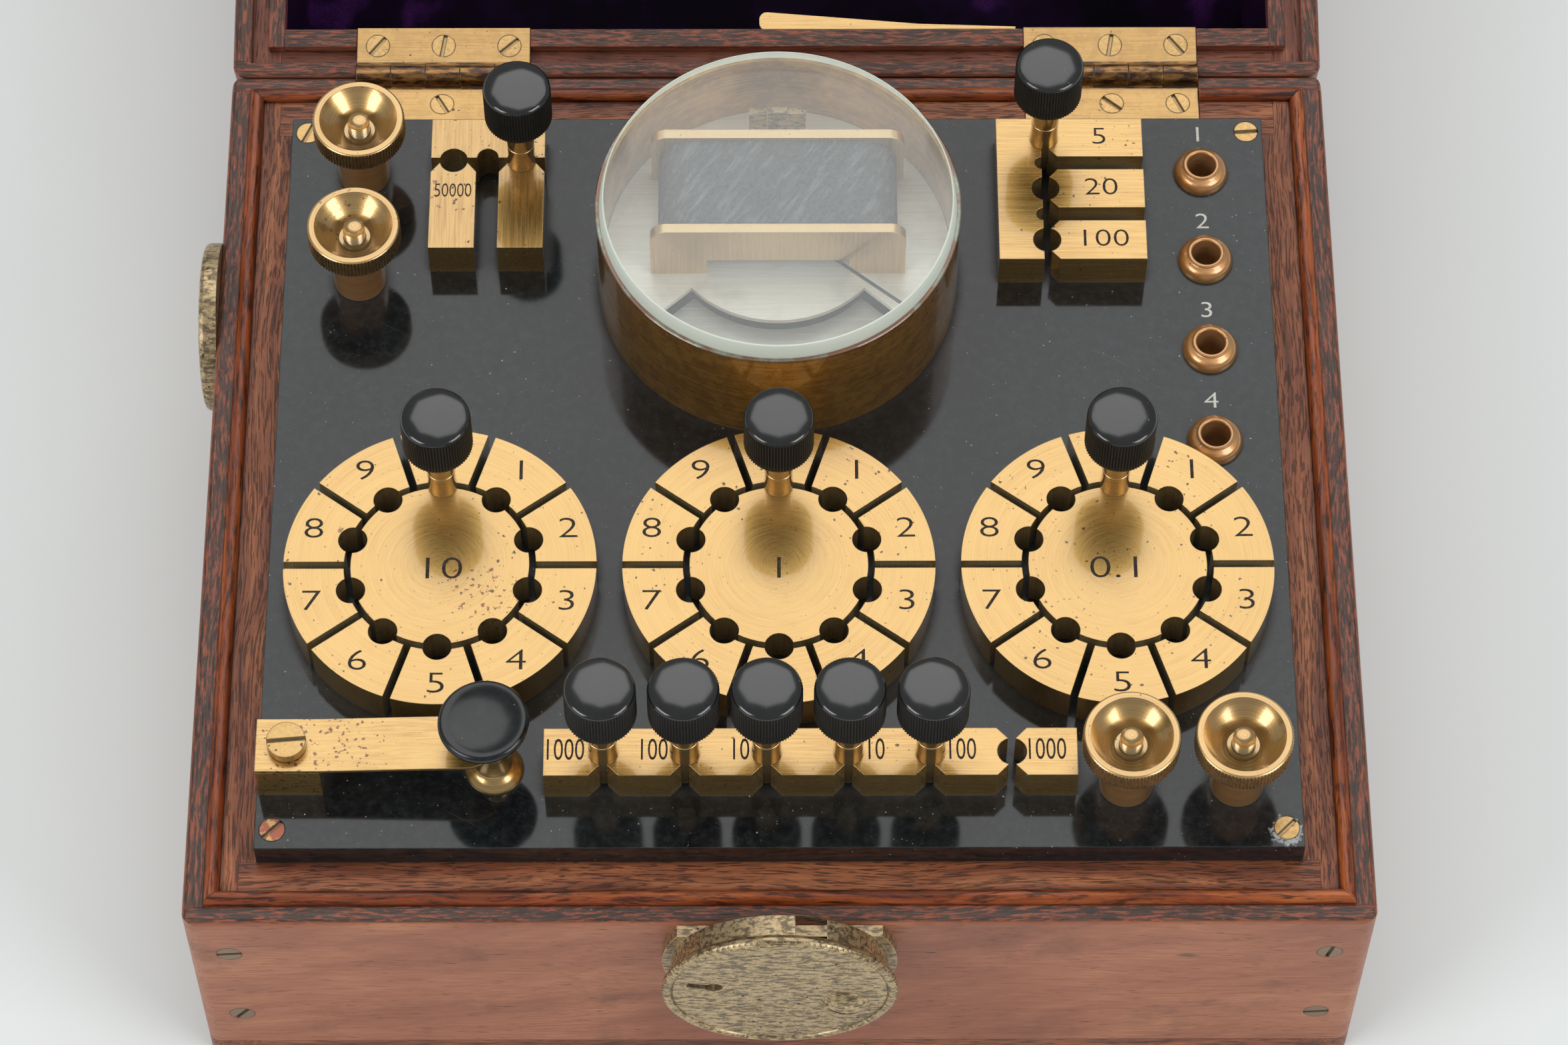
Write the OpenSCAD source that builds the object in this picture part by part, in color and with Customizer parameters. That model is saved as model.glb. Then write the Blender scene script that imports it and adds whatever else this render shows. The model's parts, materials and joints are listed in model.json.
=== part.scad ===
// Portable telegraph line test set: a resistance bridge with plug contacts in a hinged wooden case.
// Millimetres, +Z up. The origin is the centre of the underside of the case, and -Y is the front.
// The lid is drawn open, as it stands on the table behind the case.

/* [Panel and dials] */
// Thickness of the ebonite panel
panel_t = 6.35; // [5:0.05:8]
// Radius of a ten-block dial
dial_r = 32.26; // [32:0.02:34]
// Radius of the middle disc of a dial
hub_r = 18.4; // [18:0.1:18.8]
// Clear space between neighbouring dials
dial_gap = 5.25; // [4.5:0.05:8]
// Clear space between an outer dial and the side of the panel
dial_side = 3.97; // [3:0.01:8]
// Height of the brass blocks above the panel
block_h = 9.5; // [8:0.1:11]
// Width of the saw cuts between the blocks of a dial
cut_w = 1.6; // [1:0.1:1.8]
// Width of the ring gap between disc and blocks
ring_gap = 1.35; // [1:0.05:1.5]
// Radius of the plug holes and of the test sockets
hole_r = 3; // [2.8:0.05:3.1]

/* [Plugs] */
// Clearance of a plug in its hole, on the radius
plug_fit = 0.07; // [0.03:0.01:0.1]
// Radius of the ebonite knob of a plug
knob_r = 7.2; // [6.5:0.1:7.6]
// Height of the ebonite knob of a plug
knob_h = 12.3; // [9:0.1:14]
// Length of shank between block and knob
shank_show = 16.5; // [12:0.1:19]

/* [Ratio arms] */
// Distance from the front of the panel to the ratio blocks
ratio_front = 11.6; // [10:0.1:14]
// Depth of the ratio blocks, front to back
ratio_d = 10.6; // [10:0.1:11.5]
// Clear space between the ratio blocks and the dials
ratio_to_dial = 5.6; // [4.5:0.1:9]
// Distance between neighbouring ratio plugs
ratio_pitch = 16.49; // [16:0.01:16.8]
// Left end of the ratio row, from the middle of the panel
ratio_left = 47.6; // [46:0.1:49]
// Depth of the slanted corners at the gaps of the ratio blocks
vee = 2.3; // [1.8:0.1:2.4]

/* [Shunts and insulation blocks] */
// Clear space between the meter and the shunt bar
shunt_gap = 8.8; // [7:0.1:9.5]
// Width of the shunt bar
shunt_bar_w = 9.6; // [9:0.1:10]
// Length of a shunt block
shunt_len = 20.6; // [18:0.1:21.5]
// Distance between neighbouring shunt plugs
shunt_pitch = 13.1; // [12.8:0.05:13.8]
// Width of a shunt block
shunt_w = 9.8; // [9:0.1:10]
// Distance from the back of the panel to the shunt and insulation bars
bars_back = 6.5; // [6:0.1:8]
// Clear space between the meter and the insulation blocks
ins_gap = 11.7; // [10:0.1:12.5]
// Distance between the two insulation plugs
ins_pitch = 14.7; // [14:0.1:15.5]
// Width of an insulation block
ins_w = 9.8; // [9:0.1:10]
// Length of an insulation block, front to back
ins_len = 21.7; // [18:0.1:23]

/* [Terminals and sockets] */
// Radius of a terminal head
head_r = 9.85; // [8.5:0.05:10]
// Height of a terminal head
head_h = 6; // [5:0.1:7]
// Radius of the terminal post below the head
post_r = 5.6; // [4.8:0.05:6]
// Height of the terminal post below the head
post_h = 15.5; // [12:0.1:18]
// Radius of the threaded stud of a terminal
stud_r = 2.35; // [2:0.05:2.6]
// Distance between the two bridge terminals
bridge_pitch = 22.5; // [21:0.1:23]
// Distance from the side of the panel to the nearest bridge terminal
bridge_side = 13.2; // [12:0.1:14]
// Distance from the front of the panel to the bridge terminals
bridge_front = 14.5; // [12:0.1:16]
// Distance between the two earth terminals
earth_pitch = 27.1; // [23:0.1:29]
// Distance from the left side of the panel to the earth terminals
earth_side = 16.3; // [14:0.1:17]
// Distance from the back of the panel to the first earth terminal
earth_back = 14.3; // [13:0.1:16]
// Height of a test socket above the panel
socket_h = 3.4; // [3:0.1:5]
// Radius of the flared foot of a test socket
socket_r = 5.95; // [5.4:0.05:6.3]
// Depth of the bore of a test socket
socket_depth = 14; // [12:0.1:18]
// Distance between neighbouring test sockets
socket_pitch = 22.6; // [20:0.1:23]
// Distance from the right side of the panel to the test sockets
socket_side = 13.9; // [12.5:0.1:15]

/* [Key] */
// Height of the pillar of the tapping key
pillar_h = 10; // [9:0.1:12]
// Length of the pillar of the tapping key
pillar_len = 13; // [12:0.1:15]
// Width of the spring arm of the tapping key
arm_w = 11.8; // [10:0.1:12]
// Thickness of the spring arm of the tapping key
arm_t = 0.8; // [0.6:0.1:1.2]
// Length of the spring arm, up to the middle of its round end
arm_len = 42.7; // [40:0.1:44]
// Radius of the black knob of the tapping key
key_knob_r = 9.2; // [8:0.1:9.4]
// Height of the rim of the key knob above the panel
key_knob_top = 22.4; // [20:0.1:25]
// Upward bend of the spring arm beyond its pillar, in degrees
arm_bend = 2.6; // [0:0.1:3]
// Clear space between the contact of the arm and the anvil
key_gap = 0.7; // [0.6:0.1:1]

/* [Galvanometer] */
// Outer radius of the meter drum
meter_r = 38.52; // [38.2:0.02:39]
// Height of the meter drum above the panel
meter_h = 28.8; // [28:0.1:32]
// Wall of the meter drum
drum_wall = 1.6; // [1.2:0.1:2]
// Thickness of the glass
glass_t = 6; // [5.4:0.1:6.6]
// Height of the glass above the drum
glass_rise = 3.6; // [3:0.1:4]
// Height of the silvered plate above the panel
dial_plate_z = 7.7; // [6.5:0.1:8]
// Thickness of the silvered plate
dial_plate_t = 1.2; // [0.8:0.1:2]
// Width of the coil cheeks
cheek_w = 54; // [52:0.1:55]
// Thickness of the coil cheeks
cheek_t = 2.2; // [1.5:0.1:2.5]
// Clear length between the coil cheeks
coil_len = 21.6; // [20:0.1:22]
// How far the middle of the coil lies behind the middle of the drum
coil_back = 8; // [7.8:0.1:8.6]
// How far the needle's pivot lies behind the middle of the drum
needle_back = 5.4; // [5:0.1:8]
// Inner radius of the scale window
window_r = 24.7; // [24:0.1:25.4]
// Clear space between dials and meter drum
dial_to_meter = 4.7; // [4:0.1:8]
// Distance from the meter drum to the back of the panel
meter_to_back = 2.95; // [2.5:0.05:6]
// Angle of the needle from straight forward, as it lies in the photograph
needle_rest = 51.5; // [45:0.5:52]

/* [Case] */
// Width of the flat rim outside the bead, at both sides
rim_w = 4.3; // [4:0.1:5]
// Width of the flat rim outside the bead, at the front
rim_front = 3.9; // [3.6:0.1:4.6]
// Width of the flat rim outside the bead, at the back
rim_back = 3.7; // [3.4:0.1:4.6]
// Width of the half-round bead
bead_w = 3.1; // [2.8:0.1:3.4]
// Height of the bead above the rim
bead_h = 1.9; // [1.7:0.1:2.2]
// Visible width of the ledge at both sides of the panel
ledge_side = 7.25; // [7:0.05:8.6]
// Visible width of the ledge in front of the panel
ledge_front = 6.7; // [6.4:0.1:8.6]
// Visible width of the ledge behind the panel
ledge_back = 8.9; // [8.7:0.1:10]
// How far the ledge strips run on under the panel
bearing = 5.6; // [5.2:0.1:5.8]
// Thickness of the ledge strips
strip_t = 6.35; // [5:0.05:8]
// Thickness of the side boards of case and lid
wall_t = 12.7; // [12.2:0.1:13]
// Thickness of the laps of front and back board that cover the ends of the side boards
lap_t = 3.7; // [3.2:0.1:4.1]
// Height of the side boards of the case
wall_h = 58.05; // [56:0.05:70]
// Thickness of the base board
base_t = 6.35; // [5:0.05:10]
// Radius of the upright corners of case and lid
corner_r = 3; // [1:0.1:4]
// Radius of the outer edges at the rims
edge_r = 1.2; // [0.6:0.1:1.5]

/* [Lid] */
// Radius of the edges around the top of the lid
lid_edge_r = 2.5; // [1:0.1:3]
// Height of the side boards of the lid
lid_wall_h = 59.25; // [50:0.05:59.4]
// Thickness of the top board of the lid
lid_top_t = 6.35; // [5:0.05:6.4]
// Thickness of the side boards of the lid
lid_board_t = 10.4; // [10:0.1:12]
// Clear space between bead and groove
groove_fit = 0.35; // [0.3:0.05:0.6]
// Depth of the groove that takes the bead
groove_d = 3; // [2.6:0.1:4]
// Thickness of the velvet on the top of the lid
velvet_t = 2.4; // [1.5:0.1:2.6]
// Thickness of the velvet on the four sides of the lid
velvet_side_t = 0.9; // [0.8:0.1:1.2]
// Angle through which the lid is open
lid_open = 167; // [160:0.5:167]

/* [Hinges] */
// Length of a hinge
hinge_len = 38.3; // [34:0.1:44]
// Distance from the middle of the case to each hinge
hinge_x = 74; // [70:0.5:80]
// Thickness of a hinge leaf
leaf_t = 1.6; // [1.2:0.1:1.9]
// Width of a hinge leaf, from its pin
leaf_w = 11.6; // [11:0.1:12.4]
// Radius of a hinge knuckle
knuckle_r = 2.75; // [2.4:0.05:3]
// Radius of a hinge pin
pin_r = 1.2; // [1:0.05:1.4]
// Clearance of a hinge pin in a knuckle, on the radius
pin_fit = 0.05; // [0.02:0.01:0.1]
// Radius of the head of the flush brass screws
screw_r = 2.6; // [2.2:0.05:2.7]

/* [Lock] */
// Radius of the milled front disc of the lock
lock_r = 23.9; // [23:0.05:26]
// Distance from the middle of the lock down from the rim
lock_drop = 12.85; // [12:0.05:16]
// Thickness of the back flange of the lock
flange_t = 2.6; // [2:0.1:3]
// Depth of the lock barrel
barrel_d = 4.6; // [4.4:0.1:6]
// Thickness of the milled front disc of the lock
cover_t = 2.3; // [2:0.1:2.8]
// Distance of the hasp slot from the middle of the lock
slot_x = 6.25; // [5:0.05:7]
// Width of the hasp slot
slot_w = 6.3; // [6:0.1:7]
// Travel of the lock bolt
bolt_travel = 3; // [2.5:0.1:3.2]
// Radius of the round boss on the left side
boss_r = 18.3; // [16:0.1:20]
// How far that boss stands out
boss_t = 3.8; // [3:0.1:5]

/* [Hidden] */
$fn = 96;
// past the surface in a cut
e = 0.5;
brass = "#d9a441";
dark_brass = "#8a6a38";
wood = "#7a3b22";
dark_wood = "#5a2e20";
ebonite = "#26282a";

// Plan of the panel, worked out from what stands on it
dial_pitch = 2 * dial_r + dial_gap;
panel_w = 2 * dial_pitch + 2 * dial_r + 2 * dial_side;
dial_y0 = ratio_front + ratio_d + ratio_to_dial + dial_r;
meter_y0 = dial_y0 + dial_r + dial_to_meter + meter_r;
panel_d = meter_y0 + meter_r + meter_to_back;

// Case around the panel
case_w = panel_w + 2 * (rim_w + bead_w + ledge_side);
case_d = panel_d + rim_front + rim_back + 2 * bead_w + ledge_front + ledge_back;
rim_z = base_t + wall_h;
top_z = rim_z + panel_t;
front_y = -case_d / 2;
back_y = case_d / 2;
panel_y = front_y + rim_front + bead_w + ledge_front;
panel_back = panel_y + panel_d;
bead_sink = 1;
// open seam where boards, strips, linings and bead rods of one node meet
joint = 0.05;

// Places on the panel
hub_y = panel_y + dial_y0;
hole_ring = hub_r + ring_gap / 2;
meter_y = panel_y + meter_y0;
ratio_y = panel_y + ratio_front;
ratio_end = 12.05;
ratio_mid = ratio_y + ratio_d / 2;
function ratio_hole(i) = -ratio_left + ratio_end + i * ratio_pitch;
shunt_x = meter_r + shunt_gap;
shunt_hole_x = shunt_x + shunt_bar_w + ring_gap / 2;
shunt_back = panel_back - bars_back;
function shunt_hole_y(i) = shunt_back - shunt_w / 2 - i * shunt_pitch;
shunt_block_x = shunt_x + shunt_bar_w + ring_gap;
shunt_block_mid = shunt_block_x + shunt_len / 2 + 1;
ins_right = -(meter_r + ins_gap);
ins_bar_d = 9.9;
ins_hole_y = panel_back - bars_back - ins_bar_d - ring_gap / 2;
ins_front = ins_hole_y - ring_gap / 2 - ins_len;
function ins_hole_x(i) = ins_right - ins_w / 2 - i * ins_pitch;
earth_x = -panel_w / 2 + earth_side;
function earth_y(i) = panel_back - earth_back - i * earth_pitch;
bridge_y = panel_y + bridge_front;
function bridge_x(i) = panel_w / 2 - bridge_side - i * bridge_pitch;
socket_x = panel_w / 2 - socket_side;
function socket_y(i) = panel_back - earth_back - i * socket_pitch;

// Tapping key
key_left = -panel_w / 2 + 0.5;
key_y = panel_y + 17.9;
key_edge = key_left + pillar_len;
key_z = top_z + pillar_h;
key_end = key_left + arm_len;
key_tip = key_end + arm_w / 2;
contact_x = key_end + 4.9;
contact_h = 1;
clamp_clear = 0.25;
key_screw_x = key_left + pillar_len / 2 - 0.2;
key_screw_r = 1.6;

// Galvanometer
drum_in = meter_r - drum_wall;
shoulder = 1.5;
glass_r = meter_r - 0.9;
glass_z = top_z + meter_h + glass_rise - glass_t;
plate_z = top_z + dial_plate_z;
coil_y = meter_y + coil_back;
needle_y = meter_y + needle_back;
cheek_clear = 2.65;
cheek_h = glass_z - cheek_clear - plate_z;
cheek_r = 3.5;
coil_w = cheek_w - 3.2;
coil_h = cheek_h - 1.1;
window_half = 48;
chamber_w = 30.2;
chamber_h = 5.25;
needle_z = plate_z + 3.4;

// Fasteners
shank_r = 1.4;
head_sink = 1.3;
screw_fit = 0.05;
block_screw_r = 1.5;
block_screw_in = 6;
bobbin_r = 5.2;
bobbin_h = 32;
screw_head_r = 3;
screw_head_h = 2.2;

// Hinges and lid
pin_y = back_y;
gap = 0.15;
knuckles = 5;
knuckle_len = hinge_len / knuckles;
knuckle_clear = knuckle_r + 0.3;
leaf_screw_y = (pin_y - knuckle_clear + pin_y - leaf_w) / 2;
leaf_pitch = 14.6;
lid_h = lid_wall_h + lid_top_t;

// Lock
lock_z = rim_z - lock_drop;
barrel_r = lock_r - 1.75;
barrel_wall = 2;
flange_y = front_y - flange_t;
cover_y = flange_y - barrel_d;
tongue_w = slot_w - 0.8;
tongue_t = 2.2;
tongue_y = flange_y - 0.9;
bolt_t = 3;
bolt_h = 4.4;
bolt_z = lock_z + 6;
bolt_len = 14;
notch_d = bolt_travel + 0.5;
tongue_left = slot_x - tongue_w / 2;

// Shared shapes
module rounded_rect(w, d, r) {
    square([w - 2 * r, d], center = true);
    square([w, d - 2 * r], center = true);
    for (x = [-1, 1], y = [-1, 1])
        translate([x * (w / 2 - r), y * (d / 2 - r)]) circle(r);
}

// Sharp edge less a quarter round, as a cutter that runs along +Y
module edge_cut(len, r) {
    rotate([-90, 0, 0]) linear_extrude(len) difference() {
        translate([-r, -r]) square(r + e);
        translate([-r, -r]) circle(r);
        translate([-r - e, -r - e]) square([e, r + 2 * e]);
        translate([-r - e, -r - e]) square([r + 2 * e, e]);
    }
}

// The cutters for the four top edges of a box of w by d whose top lies at z = 0
module top_edge_cuts(w, d, r) {
    for (s = [0, 1]) mirror([s, 0, 0])
        translate([w / 2, -d / 2 - e, 0]) mirror([0, 0, 1]) edge_cut(d + 2 * e, r);
    for (s = [0, 1]) mirror([0, s, 0])
        rotate([0, 0, 90]) translate([d / 2, -w / 2 - e, 0]) mirror([0, 0, 1]) edge_cut(w + 2 * e, r);
}

// Width and depth of a screw slot
slot_cut = 0.8;
slot_depth = 0.7;

// A countersunk slotted screw whose head is flush with z = 0 and whose shank points down
module flush_screw(len, r) {
    difference() {
        union() {
            translate([0, 0, -head_sink]) cylinder(h = head_sink, r = r);
            translate([0, 0, -len]) cylinder(h = len, r = shank_r);
        }
        translate([-r - e, -slot_cut / 2, -slot_depth]) cube([2 * r + 2 * e, slot_cut, slot_depth + e]);
    }
}

module screw_hole(len, r) {
    translate([0, 0, -head_sink - screw_fit]) cylinder(h = head_sink + screw_fit + e, r = r + screw_fit);
    translate([0, 0, -len - screw_fit]) cylinder(h = len, r = shank_r + screw_fit);
}

// Places of the flush screws: panel corners, base leaves of the hinges, and the case boards
// The turns are the angles of their slots, from left to right
panel_turns = [45, 66, 45, 4];
board_turns = [57, 7, 6, 79];
base_leaf_turns = [20, -60, -50, -15, -40, -65];
lid_leaf_turns = [-50, -80, -40, -15, -80, 50];
panel_screw_in = 3.5;
board_screw_in = 8.5;

module at_panel_screws() {
    for (s = [0, 1], y = [0, 1])
        translate([(2 * s - 1) * (panel_w / 2 - panel_screw_in),
            y == 0 ? panel_y + panel_screw_in + 0.8 : panel_back - panel_screw_in, top_z])
            rotate([0, 0, panel_turns[2 * s + y]]) children();
}

module at_leaf_screws(turns) {
    for (s = [0, 1], i = [0, 1, 2])
        translate([(2 * s - 1) * hinge_x + (i - 1) * leaf_pitch, leaf_screw_y, rim_z])
            rotate([0, 0, turns[3 * s + i]]) children();
}

module at_board_screws(z_list) {
    for (s = [0, 1], side = [-1, 1], i = [0, 1])
        translate([(2 * s - 1) * (case_w / 2 - board_screw_in), side * case_d / 2, z_list[i]])
            rotate([-side * 90, 0, 0]) rotate([0, 0, board_turns[2 * s + i]]) children();
}

case_screw_z = [rim_z - 44, rim_z - 14.4];
lid_screw_z = [rim_z + 15, rim_z + 44];
panel_screw_len = panel_t + strip_t - 1;
leaf_screw_len = strip_t - 0.6;
board_screw_len = 28;

// Case
// Plan of a front board of thickness t: its thin ends lap over the side boards
module front_board_plan(t, seam) {
    intersection() {
        rounded_rect(case_w, case_d, corner_r);
        union() {
            translate([-case_w / 2, front_y]) square([case_w, lap_t]);
            translate([-case_w / 2 + t + seam, front_y]) square([case_w - 2 * t - 2 * seam, t]);
        }
    }
}

// Plan of the left side board of thickness t
module side_board_plan(t, seam) {
    translate([-case_w / 2, front_y + lap_t + seam]) square([t, case_d - 2 * lap_t - 2 * seam]);
}

module case_shell_front_back(side) {
    difference() {
        mirror([0, side > 0 ? 1 : 0, 0]) translate([0, 0, base_t]) linear_extrude(wall_h)
            front_board_plan(wall_t, 0);
        rim_cuts();
        at_board_screws(case_screw_z) screw_hole(board_screw_len, screw_r);
    }
}

// Box over all that lies inside the rim, drawn in by g all round
module inside_rim(g, z, h) {
    translate([-case_w / 2 + rim_w + g, front_y + rim_front + g, z])
        cube([case_w - 2 * (rim_w + g), case_d - rim_front - rim_back - 2 * g, h]);
}

// Groove of the bead, rebate of the ledge strips, rounded rim and the seats of the hinges
module rim_cuts() {
    difference() {
        inside_rim(0, rim_z - bead_sink, bead_sink + e);
        inside_rim(bead_w, rim_z - bead_sink - e, bead_sink + 3 * e);
    }
    inside_rim(bead_w, rim_z - strip_t, strip_t + e);
    translate([0, 0, rim_z]) top_edge_cuts(case_w, case_d, edge_r);
    hinge_seats();
    at_leaf_screws(base_leaf_turns) screw_hole(leaf_screw_len, screw_r);
}

module hinge_seats() {
    for (s = [-1, 1]) translate([s * hinge_x - hinge_len / 2 - gap, 0, 0]) {
        translate([0, pin_y - leaf_w - gap, rim_z - leaf_t])
            cube([hinge_len + 2 * gap, leaf_w + 2 * gap, leaf_t + bead_h + e]);
        translate([0, pin_y, rim_z]) rotate([0, 90, 0]) cylinder(h = hinge_len + 2 * gap, r = knuckle_clear);
    }
}

module case_front() {
    color(wood) case_shell_front_back(-1);
}

module case_back() {
    color(wood) case_shell_front_back(1);
}

module case_sides() {
    color(wood) for (s = [0, 1]) mirror([s, 0, 0]) difference() {
        translate([0, 0, base_t]) linear_extrude(wall_h) side_board_plan(wall_t, 0);
        rim_cuts();
        at_board_screws(case_screw_z) screw_hole(board_screw_len, screw_r);
    }
}

module case_base() {
    color(dark_wood) linear_extrude(base_t) rounded_rect(case_w, case_d, corner_r);
}

// Ledge strips: front and back strips are tongued into the side strips as the seams show
seam_x = panel_w / 2 + 3.5;
bead_front = front_y + rim_front + bead_w;
bead_back = back_y - rim_back - bead_w;
strip_inner_x = panel_w / 2 - bearing;
module end_strip(y0, y1, y2) {
    translate([0, 0, rim_z - strip_t]) linear_extrude(strip_t) {
        translate([-seam_x, min(y0, y1)]) square([2 * seam_x, abs(y1 - y0)]);
        translate([-strip_inner_x, min(y0, y2)]) square([2 * strip_inner_x, abs(y2 - y0)]);
    }
}

module ledge_strips() {
    color(dark_wood) difference() {
        union() {
            end_strip(bead_front, panel_y, panel_y + bearing);
            end_strip(bead_back, panel_back, panel_back - bearing);
            for (s = [0, 1]) mirror([s, 0, 0]) translate([0, 0, rim_z - strip_t])
                linear_extrude(strip_t) difference() {
                    translate([strip_inner_x, bead_front])
                        square([case_w / 2 - rim_w - bead_w - strip_inner_x, bead_back - bead_front]);
                    translate([0, front_y]) square([seam_x + joint, panel_y - front_y + joint]);
                    translate([0, panel_back - joint]) square([seam_x + joint, back_y - panel_back + joint]);
                    translate([0, front_y])
                        square([strip_inner_x + joint, panel_y + bearing + joint - front_y]);
                    translate([0, panel_back - bearing - joint]) square([strip_inner_x + joint, case_d]);
                }
        }
        hinge_seats();
        at_leaf_screws(base_leaf_turns) screw_hole(leaf_screw_len, screw_r);
        at_panel_screws() screw_hole(panel_screw_len, screw_r);
    }
}

// One side of the bead, with its outer edge on the line y = 0 and mitred ends
module bead_rod(len) {
    intersection() {
        translate([-len / 2, bead_w / 2, 0]) rotate([90, 0, 90]) linear_extrude(len) {
            translate([0, bead_h - bead_w / 2]) circle(bead_w / 2);
            translate([-bead_w / 2, -bead_sink]) square([bead_w, bead_sink + bead_h - bead_w / 2]);
        }
        translate([0, 0, -bead_sink]) linear_extrude(bead_sink + bead_h + e)
            polygon([[joint - len / 2, 0], [len / 2 - joint, 0], [len / 2 - joint - bead_w, bead_w],
                [bead_w + joint - len / 2, bead_w]]);
    }
}

module bead_moulding() {
    color("#8a3a14") translate([0, 0, rim_z]) {
        translate([0, front_y + rim_front, 0]) bead_rod(case_w - 2 * rim_w);
        for (s = [0, 1]) mirror([s, 0, 0]) translate([-case_w / 2 + rim_w, (rim_front - rim_back) / 2, 0])
            rotate([0, 0, -90]) bead_rod(case_d - rim_front - rim_back);
    }
    color("#8a3a14") difference() {
        translate([0, back_y - rim_back, rim_z]) rotate([0, 0, 180]) bead_rod(case_w - 2 * rim_w);
        hinge_seats();
        for (s = [-1, 1]) translate([s * hinge_x - hinge_len / 2 - gap, bead_back - e, rim_z - 2])
            cube([hinge_len + 2 * gap, bead_w + 2 * e, bead_h + 3]);
    }
}

module brass_screws() {
    color(brass) {
        at_panel_screws() flush_screw(panel_screw_len, screw_r);
        at_leaf_screws(base_leaf_turns) flush_screw(leaf_screw_len, screw_r);
        at_board_screws(case_screw_z) flush_screw(board_screw_len, screw_r);
        key_screw();
    }
}

// The cheese-head screw that clamps the spring arm on its pillar
key_screw_head_r = 4;
key_screw_head_h = 2.2;
key_screw_len = 8;
key_screw_turn = 5;
module key_screw() {
    translate([key_screw_x, key_y, key_z + arm_t + clamp_clear]) difference() {
        union() {
            cylinder(h = key_screw_head_h, r = key_screw_head_r);
            translate([0, 0, -key_screw_len]) cylinder(h = key_screw_len + e, r = key_screw_r);
        }
        rotate([0, 0, key_screw_turn]) translate([-key_screw_head_r - 1, -slot_cut / 2, key_screw_head_h - 1])
            cube([2 * key_screw_head_r + 2, slot_cut, 1 + e]);
    }
}

// Screws that hold the brass blocks from below, and the coils that hang on the longer ones
function ring_points(cx, list, r) =
    [for (k = list) [cx + r * cos(90 - 36 * k), hub_y + r * sin(90 - 36 * k)]];
seg_mid_r = (hub_r + ring_gap + dial_r) / 2;
coil_points = concat(
    [for (d = [-1, 0, 1]) for (p = ring_points(d * dial_pitch, [1:9], seg_mid_r)) p],
    [for (i = [0:6]) if (i != 3) [ratio_block_mid(i), ratio_mid]],
    [for (i = [0:2]) [shunt_block_mid, shunt_hole_y(i)]],
    [[ins_hole_x(1), ins_front + ins_len / 2]]);
plain_points = concat(
    [for (d = [-1, 0, 1]) [d * dial_pitch, hub_y]],
    [for (d = [-1, 0, 1]) [d * dial_pitch, hub_y + seg_mid_r]],
    [[ratio_block_mid(3), ratio_mid], [shunt_x + 3.4, shunt_hole_y(1)],
     [ins_hole_x(0), ins_front + ins_len / 2], [(ins_hole_x(0) + ins_hole_x(1)) / 2, ins_hole_y + 7],
     [key_screw_x + 3.6, key_y], [contact_x, key_y]]);
function ratio_block_mid(i) =
    i == 0 ? -ratio_left + ratio_end / 2 - 1 : ratio_hole(i - 1) + ratio_pitch / 2;

module block_screw(long) {
    drop = long ? bobbin_h : 0;
    translate([0, 0, -drop]) {
        translate([0, 0, -screw_head_h]) cylinder(h = screw_head_h, r = screw_head_r);
        cylinder(h = drop + panel_t + block_screw_in - 1.5, r = block_screw_r);
    }
}

module block_screws() {
    color(dark_brass) {
        for (p = coil_points) translate([p[0], p[1], rim_z]) block_screw(true);
        for (p = plain_points) translate([p[0], p[1], rim_z]) block_screw(false);
    }
}

module block_screw_holes() {
    for (p = concat(coil_points, plain_points)) translate([p[0], p[1], rim_z - e])
        cylinder(h = e + panel_t + block_screw_in - 1.5 + screw_fit, r = block_screw_r + screw_fit);
}

module resistance_coils() {
    color("#7b4a2a") for (p = coil_points) translate([p[0], p[1], rim_z - bobbin_h]) rotate_extrude()
        polygon([[block_screw_r + 0.1, 0], [bobbin_r, 0], [bobbin_r, 2], [bobbin_r - 0.8, 2],
            [bobbin_r - 0.8, bobbin_h - 2], [bobbin_r, bobbin_h - 2], [bobbin_r, bobbin_h],
            [block_screw_r + 0.1, bobbin_h]]);
}

// Panel with its holes
post_tail_r = 2.35;
socket_barrel_r = 4.3;
module panel() {
    color(ebonite) difference() {
        translate([-panel_w / 2, panel_y, rim_z]) cube([panel_w, panel_d, panel_t]);
        block_screw_holes();
        at_panel_screws() screw_hole(panel_screw_len, screw_r);
        at_terminals() translate([0, 0, -panel_t - e])
            cylinder(h = panel_t + 2 * e, r = post_tail_r + screw_fit);
        at_sockets() translate([0, 0, -panel_t - e])
            cylinder(h = panel_t + 2 * e, r = socket_barrel_r + screw_fit);
    }
}

// Dials
module plug_hole(x, y) {
    translate([x, y, top_z - e]) cylinder(h = block_h + 2 * e, r = hole_r);
}

module dial_holes(cx) {
    for (k = [0:9]) plug_hole(cx + hole_ring * cos(18 + 36 * k), hub_y + hole_ring * sin(18 + 36 * k));
}

module decade_hubs() {
    color(brass) for (d = [-1, 0, 1]) difference() {
        translate([d * dial_pitch, hub_y, top_z]) cylinder(h = block_h, r = hub_r);
        dial_holes(d * dial_pitch);
        block_screw_holes();
    }
}

// The ring of ten blocks is cut as a flat outline, so that hub, saw cuts and plug holes meet cleanly
module dial_blocks(cx) {
    color(brass) difference() {
        translate([cx, hub_y, top_z]) linear_extrude(block_h) difference() {
            circle(dial_r);
            circle(hub_r + ring_gap);
            for (k = [0:4]) rotate(36 * k) square([2 * dial_r + 2, cut_w], center = true);
            for (k = [0:9]) rotate(18 + 36 * k) translate([hole_ring, 0]) circle(hole_r);
        }
        block_screw_holes();
    }
}

module tens_blocks() {
    dial_blocks(-dial_pitch);
}

module units_blocks() {
    dial_blocks(0);
}

module tenths_blocks() {
    dial_blocks(dial_pitch);
}

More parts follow.
